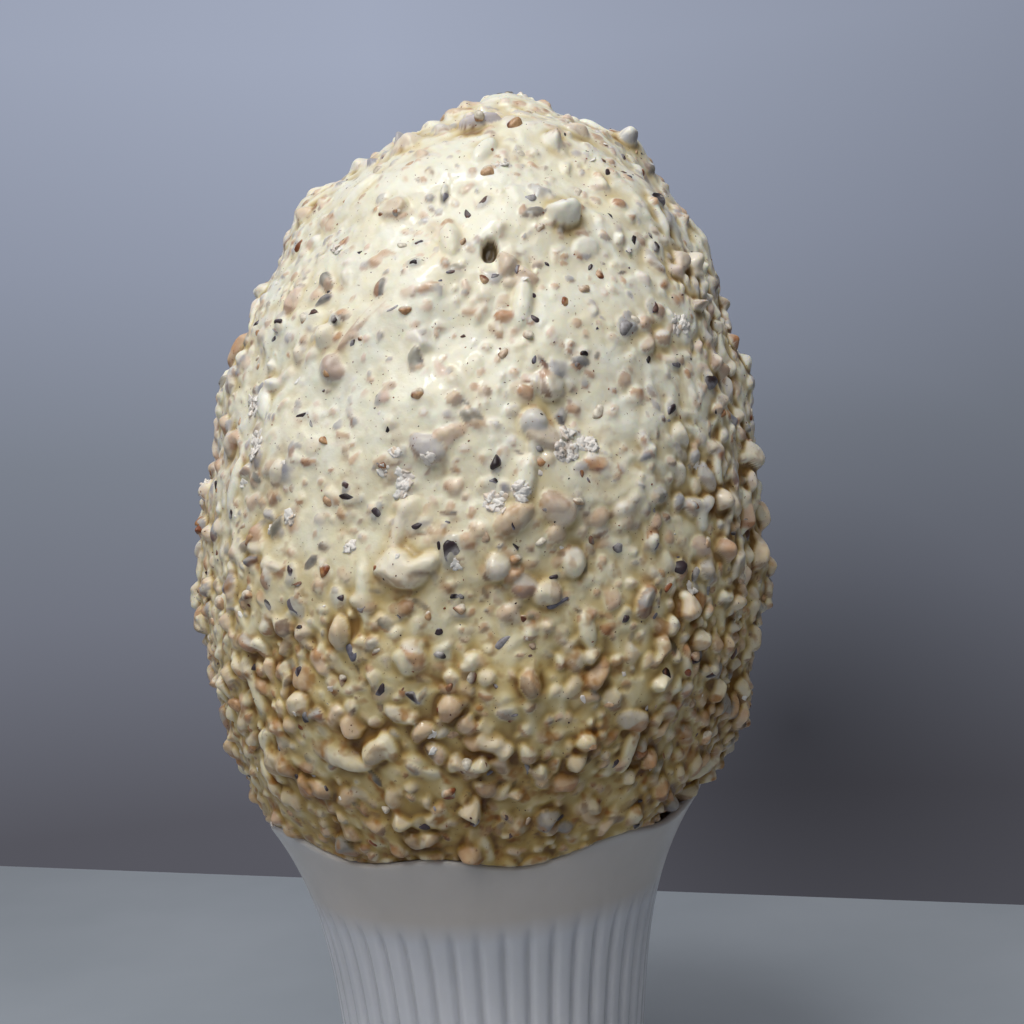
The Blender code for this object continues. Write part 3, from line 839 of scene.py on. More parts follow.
# Pieces that stand out in the picture: the pixel they are seen at, full sizes along, across and square to the
# egg in millimetres, spin in degrees, kind, height of the middle over the surface in millimetres, and tone.
SEEN_PIECES = (
    ((399, 536), (13.0, 3.4, 3.6), 84, 0, 0.9, 0.2),
    ((396, 568), (8.4, 7.6, 6.4), 10, 0, 1.5, 0.1),
    ((411, 574), (8.0, 5.6, 5.0), 12, 0, 1.7, 0.1),
    ((425, 565), (7.0, 3.8, 4.2), 38, 0, 2.2, 0.1),
    ((562, 216), (7.6, 6.8, 6.8), 0, 0, 1.4, 0.1),
    ((480, 126), (9.6, 5.0, 4.6), 5, 2, 1.4, 0.0),
    ((427, 448), (8.0, 5.2, 4.6), -30, 2, 1.3, 0.1),
    ((450, 432), (7.0, 3.6, 3.6), 15, 1, 1.0, 0.3),
    ((455, 399), (3.4, 3.0, 2.4), 0, 1, 0.7, 0.8),
    ((532, 424), (6.0, 5.4, 4.6), 60, 2, 1.4, 0.2),
    ((544, 436), (8.0, 5.0, 4.4), -20, 1, 1.4, 0.4),
    ((557, 508), (8.0, 6.6, 4.6), -35, 1, 1.4, 0.2),
    ((556, 533), (3.6, 4.2, 3.0), 80, 1, 1.0, 0.5),
    ((514, 518), (9.0, 5.0, 4.6), 35, 1, 1.2, 0.6),
    ((497, 565), (5.6, 4.6, 4.2), 70, 2, 1.3, 0.1),
    ((523, 585), (5.6, 5.0, 4.0), 0, 2, 1.0, 0.0),
    ((545, 592), (6.0, 5.2, 4.6), 30, 0, 1.3, 0.6),
    ((571, 562), (4.8, 6.0, 4.0), 0, 0, 1.2, 0.4),
    ((472, 848), (5.6, 5.4, 5.0), 30, 1, 1.6, 0.4),
    ((345, 752), (14.0, 6.0, 4.2), -14, 0, 1.0, 0.0),
    ((630, 718), (9.0, 4.6, 3.6), -10, 2, 1.2, 0.1),
    ((372, 312), (20.0, 2.8, 3.0), 50, 0, 0.9, 0.2),
    ((240, 352), (9.0, 3.0, 3.2), 70, 1, 1.5, 0.7),
    ((632, 134), (4.6, 4.0, 4.0), 0, 2, 2.2, 1.0),
    ((369, 606), (3.6, 2.6, 2.4), -5, 1, 0.6, 1.0),
    ((407, 607), (3.6, 2.6, 2.4), 45, 1, 0.6, 0.9),
    ((304, 702), (5.2, 5.0, 5.0), 0, 0, 1.8, 0.1),
    ((379, 748), (6.6, 4.8, 4.6), 30, 0, 1.6, 0.5),
    ((450, 708), (4.6, 6.0, 4.6), 0, 1, 1.3, 0.3),
    ((489, 249), (4.8, 3.2, 3.4), 84, 4, 1.0, 0.0),
)
SEEN_STEPS = 500
SEEN_BLEND = 0.6 * MM
SEEN_PLANES = (0.6, 0.42)
SEEN_UP = (-1.2, 1.5)
SEEN_ROUND = (-1.7, 1.7)


def seen_at(pixels):
    """Latitude and turn of the egg's surface at each pixel: the nearest of many front points, projected."""
    latitude, turn = np.meshgrid(np.linspace(*SEEN_UP, SEEN_STEPS), np.linspace(*SEEN_ROUND, SEEN_STEPS),
                                 indexing="ij")
    surface = to_world(egg_surface(latitude, turn)) - [CAMERA_SIDE, 0.0, CAMERA_HEIGHT]
    square = outward(latitude, turn) @ lean.T
    facing = np.sum(square * (surface + [0.0, CAMERA_DISTANCE, 0.0]), axis=-1) < 0.0
    scale = FOCAL_PIXELS / (CAMERA_DISTANCE + surface[..., 1])
    right = surface[..., 0] * math.cos(CAMERA_ROLL) - surface[..., 2] * math.sin(CAMERA_ROLL)
    up = surface[..., 0] * math.sin(CAMERA_ROLL) + surface[..., 2] * math.cos(CAMERA_ROLL)
    half = PIXELS_ACROSS / 2.0
    found = []
    for column, row in pixels:
        miss = (half + scale * right - column) ** 2 + (half - scale * up - row) ** 2
        found.append(np.argmin(np.where(facing, miss, np.inf)))
    return latitude.ravel()[found], turn.ravel()[found]


def seen_nuts():
    """The pieces that stand out, as a table of nuts."""
    draw = np.random.default_rng(SEED + 3)
    pixels, sizes, spins, kinds, rises, tones = table_columns(SEEN_PIECES)
    latitude, turn = seen_at(pixels)
    size = sizes[:, 0] * MM
    turned = surface_frames(latitude, turn, np.radians(spins))
    nuts = nut_rows(draw, latitude, turn, size, kinds, sizes * MM / size[:, None], turned, rises * MM / size)
    for kind, colours in ((COATED, FLESH_TONES), (FILMED, FLESH_TONES), (SKIN, SKIN_FILM)):
        nuts["colour"][kinds == kind] = blend_tones(colours, tones[kinds == kind])
    nuts["blend"][:] = SEEN_BLEND
    nuts["reach"] = nuts["reach"] * SEEN_PLANES[0] + SEEN_PLANES[1]
    return nuts


# Chips that stand out in the picture: pixel, length and width in millimetres, spin in degrees, and tone
# from black (0) over plum (0.5) to red-brown (1).
SEEN_CHIPS = (
    ((492, 155), 1.8, 1.2, 0, 1.0), ((448, 201), 2.8, 1.1, 85, 0.3), ((484, 204), 3.4, 1.8, 50, 0.6),
    ((397, 217), 3.2, 1.8, 15, 1.0), ((421, 244), 2.4, 1.3, 0, 0.5), ((416, 264), 2.4, 1.9, 0, 0.1),
    ((345, 242), 2.2, 1.9, 0, 0.8), ((428, 288), 3.0, 1.7, 20, 1.0), ((475, 311), 3.8, 2.2, 10, 1.0),
    ((503, 305), 3.2, 2.0, 80, 1.0), ((492, 279), 2.4, 1.4, 10, 0.4), ((455, 273), 3.2, 1.3, 5, 0.6),
    ((337, 320), 2.6, 1.9, -50, 0.2), ((312, 317), 3.6, 1.6, 15, 0.6), ((283, 325), 2.8, 1.6, 0, 0.5),
    ((395, 311), 2.8, 2.0, 30, 0.9), ((321, 205), 2.8, 1.8, 80, 0.8), ((630, 134), 3.6, 2.6, 0, 1.0),
    ((653, 200), 4.6, 3.6, -40, 0.0), ((618, 205), 2.6, 2.3, 0, 0.9), ((577, 212), 3.0, 2.4, 60, 0.8),
    ((600, 164), 2.6, 1.5, 80, 0.7), ((632, 243), 3.6, 1.7, 70, 0.1), ((654, 249), 3.8, 3.0, 40, 0.05),
    ((690, 260), 3.8, 3.2, 30, 0.1), ((663, 284), 3.2, 2.4, 60, 0.9), ((650, 309), 3.2, 2.2, 80, 0.6),
    ((626, 327), 4.2, 4.0, 0, 0.15), ((533, 297), 3.6, 1.4, -5, 0.5), ((583, 354), 1.8, 1.4, 0, 0.0),
    ((573, 367), 2.6, 1.4, 0, 0.9), ((533, 361), 2.6, 1.0, 85, 0.2), ((507, 318), 3.8, 1.8, 0, 1.0),
    ((674, 365), 3.4, 1.5, 0, 0.1), ((543, 381), 2.8, 2.0, 70, 1.0), ((705, 380), 3.8, 2.8, 60, 0.1),
    ((301, 418), 2.8, 1.3, 25, 0.2), ((313, 423), 2.6, 1.0, -70, 0.3), ((236, 513), 3.4, 2.2, -35, 0.2),
    ((292, 575), 3.8, 2.0, 85, 0.5), ((295, 610), 4.2, 3.0, -70, 0.5), ((340, 596), 2.8, 2.5, 0, 0.5),
    ((352, 498), 4.0, 1.2, 0, 0.0), ((337, 501), 2.0, 1.4, 0, 0.9), ((347, 484), 2.0, 1.7, 0, 0.55),
    ((378, 512), 2.4, 2.0, 45, 0.4), ((418, 524), 3.6, 1.6, 5, 0.3), ((438, 545), 2.8, 1.1, 80, 0.1),
    ((453, 551), 5.2, 4.2, 75, 0.25), ((390, 431), 2.0, 1.1, 70, 0.0), ((454, 485), 2.4, 2.0, 10, 1.0),
    ((455, 594), 2.6, 1.2, 0, 0.0), ((273, 608), 3.4, 1.2, -70, 0.0), ((302, 626), 3.0, 1.4, 0, 0.2),
    ((367, 607), 2.8, 1.8, -5, 1.0), ((405, 607), 2.4, 2.1, 45, 1.0), ((497, 461), 3.8, 2.5, 75, 0.1),
    ((493, 483), 1.8, 1.6, 0, 0.1), ((538, 448), 3.4, 2.6, 0, 0.6), ((525, 393), 2.0, 1.5, 60, 0.8),
    ((669, 411), 3.4, 2.0, 70, 0.4), ((592, 466), 5.4, 2.2, 15, 0.9), ((607, 470), 2.2, 2.0, 0, 0.7),
    ((619, 547), 4.6, 2.4, -20, 0.15), ((557, 603), 4.2, 2.0, 10, 0.2), ((553, 577), 2.6, 2.1, 0, 0.4),
    ((624, 615), 2.6, 2.2, 0, 0.4), ((675, 567), 3.6, 3.2, 0, 0.3), ((691, 577), 5.6, 1.6, -80, 0.05),
    ((705, 590), 5.6, 1.8, -85, 0.0), ((650, 549), 3.4, 2.2, 60, 0.7), ((562, 548), 2.8, 2.4, 30, 1.0),
    ((543, 512), 2.6, 1.8, 60, 0.95), ((607, 627), 2.6, 2.2, 0, 0.8), ((742, 536), 3.6, 2.6, 80, 0.7),
    ((352, 648), 4.4, 3.2, 80, 0.3), ((258, 668), 3.6, 2.8, 0, 0.4), ((306, 667), 2.9, 2.6, 20, 0.35),
    ((440, 653), 3.0, 2.2, 0, 0.2), ((382, 691), 3.8, 2.3, 70, 0.3), ((413, 695), 4.2, 1.8, -45, 0.1),
    ((450, 690), 2.6, 1.8, 80, 0.9), ((309, 717), 3.8, 1.8, 75, 0.2), ((324, 732), 2.0, 1.8, 0, 0.7),
    ((228, 747), 4.2, 2.4, 80, 0.1), ((248, 773), 2.4, 1.8, 0, 0.8), ((302, 774), 2.4, 1.9, 0, 0.2),
    ((332, 783), 3.2, 2.8, 80, 0.5), ((425, 822), 4.0, 2.6, 0, 0.4), ((478, 815), 2.8, 2.5, 0, 0.5),
    ((485, 758), 2.4, 2.2, 0, 0.85), ((490, 770), 2.8, 1.8, 40, 0.3), ((503, 641), 4.6, 1.8, 25, 0.3),
    ((663, 672), 3.4, 2.2, 80, 0.05), ((705, 675), 3.4, 2.6, 60, 0.2), ((696, 657), 6.0, 3.6, 20, 0.3),
    ((640, 750), 3.2, 2.6, 0, 1.0), ((612, 764), 3.0, 2.0, 60, 0.3), ((685, 735), 3.2, 2.3, 0, 0.8),
    ((633, 822), 2.4, 1.9, 0, 0.1), ((560, 812), 3.8, 1.8, 0, 0.5),
)
BROWN_TONE = 0.75
STAIN_TONES = ((0.48, 0.47, 0.51), (0.25, 0.26, 0.33))
STAIN_SHOWS = 0.75
STAIN_BORDERS = ((0.8, 2.4), (0.8, 2.0))
STAIN_RISE = -0.05
BROWN_SHOWS = 0.95
BROWN_SKIN_EDGES = (-0.1, 0.3)


def chip_stains():
    """Chocolate drawn up round the chips that stand out, with their colour showing faintly through it.

    The brown ones are nuts instead: their flesh shows through a film, and their skin on one side.
    """
    draw = np.random.default_rng(SEED + 9)
    pixels, lengths, widths, spins, tones = table_columns(SEEN_CHIPS)
    latitude, turn = seen_at(pixels)
    count = len(lengths)
    size = (lengths + draw.uniform(*STAIN_BORDERS[0], count)) * MM
    width = (widths + draw.uniform(*STAIN_BORDERS[1], count)) * MM / size
    stretch = np.stack([np.ones(count), width, 0.8 * width], axis=-1)
    turned = surface_frames(latitude, turn, np.radians(spins))
    nuts = nut_rows(draw, latitude, turn, size, np.full(count, SKIN), stretch, turned, STAIN_RISE)
    brown = tones > BROWN_TONE
    share = draw.uniform(size=count)
    nuts["colour"] = np.where(brown[:, None], blend_tones(FLESH_TONES, 0.4 + 0.6 * share),
                              blend_tones(STAIN_TONES, share))
    nuts["bare"] = np.where(brown, BROWN_SHOWS, STAIN_SHOWS * draw.uniform(0.3, 1.0, count))
    nuts["skin_share"] = np.where(brown, 1.0, 0.0)
    nuts["skin_edge"] = draw.uniform(*BROWN_SKIN_EDGES, count)
    nuts["skin_colour"] = blend_tones(NUT_SKINS, draw.uniform(size=count))
    return nuts


# The six sides of the skin: the direction of each side's middle, and those to its right and up.
SIDES = {
    "front": ((0, -1, 0), (1, 0, 0), (0, 0, 1)),
    "right": ((1, 0, 0), (0, 1, 0), (0, 0, 1)),
    "back": ((0, 1, 0), (-1, 0, 0), (0, 0, 1)),
    "left": ((-1, 0, 0), (0, -1, 0), (0, 0, 1)),
    "top": ((0, 0, 1), (1, 0, 0), (0, 1, 0)),
    "bottom": ((0, 0, -1), (1, 0, 0), (0, -1, 0)),
}
SIDE_COLUMNS = 270
SIDE_ROWS = 356
# The least length of a side along its grid, and the least depth towards a side at which a nut can touch it.
SIDE_LENGTH = EGG_RADIUS * 1.3
SIDE_LEAST_DEPTH = 0.35
GRID_MARGIN = 13
# A nut reaches along the grid by a share of its size and a little more.
NUT_REACH_SHARE = 0.75
NUT_REACH_MORE = 1.2 * MM
NUT_LUMPS = ((0.18 * MM, 1.1 * MM, 7), (0.32 * MM, 2.3 * MM, 9))
# A line that misses a nut falls this much too steeply; only planes that face it this far are met, the
# others lie far off; and exponents are kept below a steepest one.
MISS_FALL = 2.0
LEAST_FACING = 0.25
FAR = 1.0
STEEPEST = 30.0
FILM = 0.15 * MM
FILM_REACH = 0.34 * MM
VEIL = 0.35 * MM
VEIL_BLEND = 0.20 * MM
# A nut starts to show between these heights over the pool; its skin fades in over a share of its half size.
SHOWN_HEIGHTS = (-0.7 * MM, 0.3 * MM)
SKIN_FADE = 0.15
SKIN_OPACITY = 0.85
# A pit's rim heights, its depth, and the painted shade inside it: a near-black colour and how much of it shows.
PIT_RIM = (-0.1 * MM, 0.3 * MM)
PIT_DEPTH = 2.6 * MM
PIT_SHADE_LOOK = np.array([0.05, 0.03, 0.015, 0.9])
# The hollow, which sets only the chocolate's painted shade: how far round it is measured, its depth, and how
# much less of it the calm chocolate gets.
HOLLOW_REACH = 1.7 * MM
HOLLOW_DEPTH = 0.75 * MM
CALM_HOLLOW_SHADE_LOSS = 0.75
LIP_CLEARANCE = 0.12 * MM
LIP_SLOPE = 6.0
# Small nuts are left out within this share of the half size of a piece that stands out.
CLEARED_SHARE = 0.9


def blurred(field, reach):
    """The field averaged over its neighbours with a bell curve, whose reach is given in grid steps."""
    steps = np.arange(-math.ceil(2.5 * reach), math.ceil(2.5 * reach) + 1)
    bell = np.exp(-0.5 * (steps / reach) ** 2)
    bell /= bell.sum()
    for axis in (0, 1):
        field = sum(weight * np.roll(field, step, axis) for weight, step in zip(bell, steps))
    return field


def side_directions(axes, columns, rows):
    """Directions of a square grid on one side of the cube, with a margin all round, at even angles."""
    middle, right, up = np.array(axes, float)
    shares = (np.arange(-GRID_MARGIN, steps + GRID_MARGIN + 1) / steps for steps in (columns, rows))
    across, along = (np.tan(math.pi / 4.0 * (share * 2.0 - 1.0)) for share in shares)
    return unit(middle + across[None, :, None] * right + along[:, None, None] * up)


def place_on_side(way, axes, columns, rows):
    """Depth of directions towards a side's middle, and the column and row of its grid that they meet."""
    middle, right, up = np.array(axes, float)
    depth = way @ middle
    column, row = ((np.arctan2(way @ axis, depth) * 4.0 / math.pi + 1.0) / 2.0 * steps
                   for axis, steps in ((right, columns), (up, rows)))
    return depth, column, row


def rest_in_lip(points):
    """Keeps the chocolate off the glass: inside its inner wall, over the lip's round, in a cone above it."""
    turn = np.arctan2(points[..., 0], -points[..., 1])
    radius = np.hypot(points[..., 0], points[..., 1])
    edge = VASE_HEIGHT + lip_lift(turn)
    half = GLASS_THICKNESS / 2.0
    over = points[..., 2] - LIP_CLEARANCE - edge
    most = outer_radius(np.minimum(points[..., 2], edge)) - GLASS_THICKNESS - LIP_CLEARANCE
    most = most + half * (1.0 - np.sqrt(1.0 - np.clip((over + half) / half, 0.0, 1.0) ** 2))
    most = most + LIP_SLOPE * np.clip(over, 0.0, None)
    held = np.minimum(1.0, most / np.maximum(radius, MM))
    return points * np.stack([held, held, np.ones_like(held)], axis=-1)


def nut_top(core, square, nuts, index):
    """Height over the core at which a line square to the egg leaves one nut, and where on the nut that is.

    The nut is an ellipsoid worn flat by planes: the lowest exit counts, with a soft minimum. A line that
    misses the ellipsoid gets the height of its nearest pass, less a steep fall.
    """
    turned, half, normals = nuts["turned"][index], nuts["half"][index], nuts["normals"][index].T
    start = (core - nuts["place"][index]) @ turned / half
    pace = square @ turned / half
    pace_squared = np.sum(pace * pace, axis=-1)
    along = np.sum(start * pace, axis=-1)
    inside = along ** 2 - pace_squared * (np.sum(start * start, axis=-1) - 1.0)
    root = np.where(inside > 0.0, 1.0, -MISS_FALL) * np.sqrt(np.abs(inside))
    round_exit = (root - along) / pace_squared
    facing = (pace / np.sqrt(pace_squared)[..., None]) @ normals > LEAST_FACING
    away = np.where(facing, pace @ normals, 1.0)
    flat_exits = np.where(facing, (nuts["reach"][index] - start @ normals) / away, FAR)
    heights = np.concatenate([round_exit[..., None], flat_exits], axis=-1)
    wear = nuts["wear"][index] * nuts["size"][index]
    lowest = heights.min(axis=-1)
    nearness = np.exp(-np.clip((heights - lowest[..., None]) / wear, 0.0, STEEPEST))
    top = lowest - wear * np.log(nearness.sum(axis=-1))
    return top + FILM, start + pace * top[..., None]


def nut_window(place, size, axes, columns, rows):
    """The block of a side's grid that a nut can touch, or None where it lies on another side."""
    toward = unit(place / [EGG_RADIUS, EGG_RADIUS, EGG_UPPER if place[2] > 0.0 else EGG_LOWER])
    depth, column, row = place_on_side(toward, axes, columns, rows)
    if depth < SIDE_LEAST_DEPTH:
        return None
    block = []
    for middle, steps in ((row, rows), (column, columns)):
        middle = int(middle + GRID_MARGIN)
        wide = int((size * NUT_REACH_SHARE + NUT_REACH_MORE) / (SIDE_LENGTH / steps)) + 2
        low = max(0, middle - wide)
        high = min(steps + 2 * GRID_MARGIN + 1, middle + wide + 1)
        if low >= high:
            return None
        block.append(slice(low, high))
    return tuple(block)


def lay_nut(coat, window, nuts, index):
    """Joins one nut to the chocolate by a smooth maximum, and mixes in its colours where it is near the top."""
    top, where = nut_top(coat["core"][window], coat["square"][window], nuts, index)
    top = top + coat["lumps"][window]
    before, look, kind = coat["height"][window], coat["look"][window], nuts["kind"][index]
    # A pit is pressed in and painted near black inside, as shade.
    if kind == PIT:
        share = smooth(top, *PIT_RIM)
        coat["height"][window] = before - share * PIT_DEPTH
        coat["look"][window] = blended(look, PIT_SHADE_LOOK, share)
        return
    share = 1.0 / (1.0 + np.exp(-np.clip((top + VEIL - before) / VEIL_BLEND, -STEEPEST, STEEPEST)))
    shown = nuts["bare"][index] * (smooth(top - coat["pool"][window], *SHOWN_HEIGHTS) if kind < CHIP else 1.0)
    edge = nuts["skin_edge"][index]
    skin = nuts["skin_share"][index] * smooth(where @ nuts["skin"][index], edge, edge + SKIN_FADE)
    colour = blended(nuts["colour"][index], nuts["skin_colour"][index], skin)
    shown = np.maximum(shown, SKIN_OPACITY * skin)
    coat["height"][window] = smooth_max(before, top, nuts["blend"][index])
    coat["look"][window] = blended(look, np.concatenate([colour, shown[..., None]], axis=-1), share)


def coat_side(axes, columns, rows, nuts):
    """Points, normals, looks and hollows of one grid.

    Nuts, pools and their neighbours are joined by smooth maxima, which leaves menisci; pits come last. The
    look holds a colour seen through the chocolate, and in its fourth value how much of it shows. The hollow
    is 0.5 where the skin lies at the mean height of its surroundings, more in a hollow, and less on a crest;
    it serves only the finish's painted shade, which is weaker where the chocolate lies calm and stronger where
    it is rough.
    """
    way = side_directions(axes, columns, rows)
    latitude = np.arcsin(np.clip(way[..., 2], -1.0, 1.0))
    turn = np.arctan2(way[..., 0], -way[..., 1])
    core = egg_surface(latitude, turn)
    pool = pool_height(core, latitude, turn)
    look = np.zeros(core.shape[:2] + (4,))
    look[..., :3] = FLESH_TONES[0]
    coat = dict(core=core, square=outward(latitude, turn), lumps=bumps(core, NUT_LUMPS), pool=pool,
                height=pool.copy(), look=look)
    for index in np.argsort((nuts["kind"] == PIT) - nuts["size"]):
        window = nut_window(nuts["place"][index], nuts["size"][index], axes, columns, rows)
        if window:
            lay_nut(coat, window, nuts, index)
    step = EGG_RADIUS * math.pi / 2.0 / columns
    height = blurred(coat["height"], FILM_REACH / step)
    sunk = (blurred(height, HOLLOW_REACH / step) - height) / (2.0 * HOLLOW_DEPTH)
    hollow = np.clip(0.5 + sunk * (1.0 - CALM_HOLLOW_SHADE_LOSS * calmness(latitude, turn)), 0.0, 1.0)
    points = rest_in_lip(to_world(core + coat["square"] * height[..., None]))
    along_row, up_column = (np.roll(points, -1, axis) - np.roll(points, 1, axis) for axis in (1, 0))
    inner = (slice(GRID_MARGIN, GRID_MARGIN + rows + 1), slice(GRID_MARGIN, GRID_MARGIN + columns + 1))
    return tuple(field[inner] for field in (points, unit(np.cross(along_row, up_column)), look, hollow))


# The chocolate's colours: ivory, the shares in which what lies below shows, and fine brown dust.
IVORY_TONES = [(0.35, (0.90, 0.865, 0.715)), (0.65, (0.90, 0.91, 0.83))]
PATCH_SHARES = [(0.35, 0.75), (0.6, 1.0)]
DUST_COLOUR = (0.25, 0.11, 0.05)
DUST_SHARES = [(0.72, 0.0), (0.76, 0.6)]
# Painted shade: it is darker and warmer between the nuts, the deeper the hollow.
HOLLOW_SHADE_TINTS = [(0.30, (1.0, 1.0, 1.0)), (0.52, (0.975, 0.96, 0.91)), (0.70, (0.74, 0.63, 0.42)),
                (0.90, (0.32, 0.20, 0.09))]
# Painted shade: towards the foot it is darker and yellower, most in the hollows; the ramps run over this height
# above the table.
FOOT_TONE_TOP = 300.0 * MM
FOOT_SHADE_TONES = [(0.37, (0.53, 0.39, 0.16)), (0.50, (0.81, 0.72, 0.51)), (0.66, (1.0, 1.0, 1.0))]
FOOT_SHADE_SHARES = [(0.32, 0.6), (0.55, 1.0)]
# Amber stains in slow patches, more of them towards the foot, and the gloss.
AMBER = (0.36, 0.16, 0.03)
AMBER_PATCHES = [(0.56, 0.0), (0.70, 1.0)]
AMBER_SHARES = [(0.38, 1.0), (0.52, 0.65), (0.72, 0.05)]
GLOSS_SHARES = [(0.3, 0.28), (0.7, 0.44)]


def chocolate():
    """Set white chocolate: ivory with slow changes of tone, what lies below showing through, waxy gloss, and
    painted shade in the hollows and towards the foot.
    """
    finish, tree, shader = new_material("white_chocolate")
    look = add_node(tree, "ShaderNodeAttribute", attribute_name="look")
    hollow = add_node(tree, "ShaderNodeAttribute", attribute_name="hollow").outputs["Fac"]
    level = height_share(tree, FOOT_TONE_TOP)
    ivory = colour_ramp(noise_texture(tree, scale=120.0, detail=3.0), IVORY_TONES)
    uneven = colour_ramp(noise_texture(tree, scale=350.0), PATCH_SHARES)
    shows = reckoned("MULTIPLY", look.outputs["Alpha"], uneven)
    colour = mixed(tree, shows, ivory, look.outputs["Color"])
    dust = colour_ramp(noise_texture(tree, scale=1500.0, detail=1.0), DUST_SHARES)
    colour = mixed(tree, dust, colour, DUST_COLOUR)
    # Painted shade, darker and yellower towards the foot, most in the hollows.
    foot_shade_share = colour_ramp(hollow, FOOT_SHADE_SHARES)
    colour = times(colour, mixed(tree, foot_shade_share, (1.0, 1.0, 1.0), colour_ramp(level, FOOT_SHADE_TONES)))
    patches = colour_ramp(noise_texture(tree, scale=230.0, roughness=0.6), AMBER_PATCHES)
    amber = reckoned("MULTIPLY", patches, colour_ramp(level, AMBER_SHARES))
    # Amber patches, then the painted shade in the hollows.
    colour = times(mixed(tree, amber, colour, AMBER), colour_ramp(hollow, HOLLOW_SHADE_TINTS))
    grain = noise_texture(tree, scale=650.0, detail=4.0, roughness=0.55)
    roughen(shader, grain, strength=0.45, depth=0.35 * MM)
    set_inputs(shader, Base_Color=colour, Roughness=colour_ramp(grain, GLOSS_SHARES), IOR=1.46,
               Specular_IOR_Level=0.22, Coat_Weight=0.25, Coat_Roughness=0.08, Subsurface_Weight=0.4,
               Subsurface_Scale=1.4 * MM, Subsurface_Radius=(1.0, 0.8, 0.4))
    return finish


def paint(piece, looks):
    """Stores a colour and a share for each point of a piece, for its finish to read."""
    colours = piece.data.color_attributes.new("look", "FLOAT_COLOR", "POINT")
    colours.data.foreach_set("color", looks.reshape(-1).astype(np.float32))


pieces_seen = seen_nuts()
scattered = small_nuts()
crowded = np.zeros(len(scattered["size"]), dtype=bool)
for place, half in zip(pieces_seen["place"], pieces_seen["half"]):
    crowded |= np.linalg.norm(scattered["place"] - place, axis=-1) < CLEARED_SHARE * half[:2].mean()
scattered = {key: value[~crowded] for key, value in scattered.items()}
groups = (large_nuts(), chocolate_runs(), scattered, shallow_bits(), pieces_seen, chip_stains())
nuts = {key: np.concatenate([group[key] for group in groups]) for key in scattered}
chocolate_finish = chocolate()
coats = {}
for side, axes in SIDES.items():
    share = 1.0
    columns = int(SIDE_COLUMNS * share)
    rows = columns if side in ("top", "bottom") else int(SIDE_ROWS * share)
    points, normals, look, hollow = coat_side(axes, columns, rows, nuts)
    coats[side] = points, normals
    skin = mesh_from_arrays(f"chocolate_{side}", chocolate_finish, points.reshape(-1, 3),
                            grid_faces(rows + 1, columns + 1, False))
    paint(skin, look)
    # The hollow, which the finish reads for its painted shade.
    depths = skin.data.attributes.new("hollow", "FLOAT", "POINT")
    depths.data.foreach_set("value", hollow.reshape(-1).astype(np.float32))
    skin.data.normals_split_custom_set_from_vertices(normals.reshape(-1, 3))
    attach(skin, "root")
    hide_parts("egg")


# ---------------------------------------------------------------- loose pieces
# Bits that lie on the chocolate or break through it: bare hazelnut with its brown skin, angular dark chips,
# fine specks of skin, and white flaky wafer crumbs. They stick in the chocolate by about half their height.
CHUNK_PLANES = 13
CHUNK_REACH = (0.5, 1.0)
CHUNK_BALL = 0.85
LEAST_LIP_GAP = 2.5 * MM
# More places are drawn by this share, since those in the vase are dropped.
SPARE_SHARE = 1.2
WHITE_SHADES = (1.0, 1.0, 1.0)
BIT_SHADES = (0.62, 0.58, 0.55)
BARE_NUT_COUNT = 300
BARE_NUT_SIZES = (2.0 * MM, 4.4 * MM)
BARE_FLESH = ((0.66, 0.50, 0.36), (0.62, 0.38, 0.20), (0.46, 0.22, 0.09))
BARE_SKIN = ((0.30, 0.085, 0.025), (0.12, 0.035, 0.018))
NUT_FILM = (0.82, 0.76, 0.64)
CHIP_COUNT = 560
CHIP_SIZES = (1.1 * MM, 3.0 * MM)
CHIP_TONES = ((0.020, 0.012, 0.014), (0.065, 0.042, 0.055), (0.40, 0.19, 0.085))
CHIP_RIM = (0.16, 0.05, 0.02)
CHIP_FILMS = ((0.17, 0.165, 0.22), (0.52, 0.50, 0.49))
BROWN_CHIPS_APART = 3
LARGE_CHIP = 4.4 * MM
LARGE_CHIP_FILM = 0.5
# Of the strewn chips on the side that the picture shows, a share is kept; the placed ones swell a little.
SEEN_TURN = math.radians(65.0)
SEEN_STRAYS = 0.45
SEEN_SWELL = 1.1
SPECK_COUNT = 1500
SPECK_SIZES = (0.25 * MM, 0.7 * MM)


# Heaps of flaky crumbs that stand out: pixel of the middle, widths across and up the egg in millimetres, and
# a third of their count.
SEEN_CRUMBS = (
    ((257, 405), 6.0, 4.0, 12), ((258, 446), 5.0, 6.0, 16), ((404, 483), 2.0, 5.0, 7),
    ((386, 470), 2.0, 2.0, 3), ((398, 452), 1.4, 1.2, 4), ((430, 459), 2.4, 1.6, 3),
    ((565, 454), 3.6, 3.4, 11), ((585, 447), 2.6, 2.4, 7), ((566, 432), 1.8, 1.4, 3),
    ((495, 500), 4.0, 4.0, 9), ((518, 492), 3.0, 2.6, 5), ((457, 564), 0.6, 1.0, 2),
    ((352, 548), 1.6, 1.4, 4), ((294, 516), 1.6, 0.8, 3), ((271, 530), 0.6, 0.8, 2),
    ((245, 484), 0.8, 0.8, 2), ((211, 486), 1.4, 4.0, 4), ((678, 328), 3.0, 3.4, 8),
    ((503, 168), 3.0, 1.4, 4), ((337, 250), 1.4, 2.0, 3), ((688, 590), 1.6, 1.0, 3),
    ((695, 463), 1.0, 1.6, 2), ((433, 733), 0.6, 0.4, 2),
)
CRUMBS_A_COUNT = 3
HEAPED_SIZES = (0.9 * MM, 2.8 * MM)
STRAY_CRUMBS = 110
STRAY_SIZE = 0.7
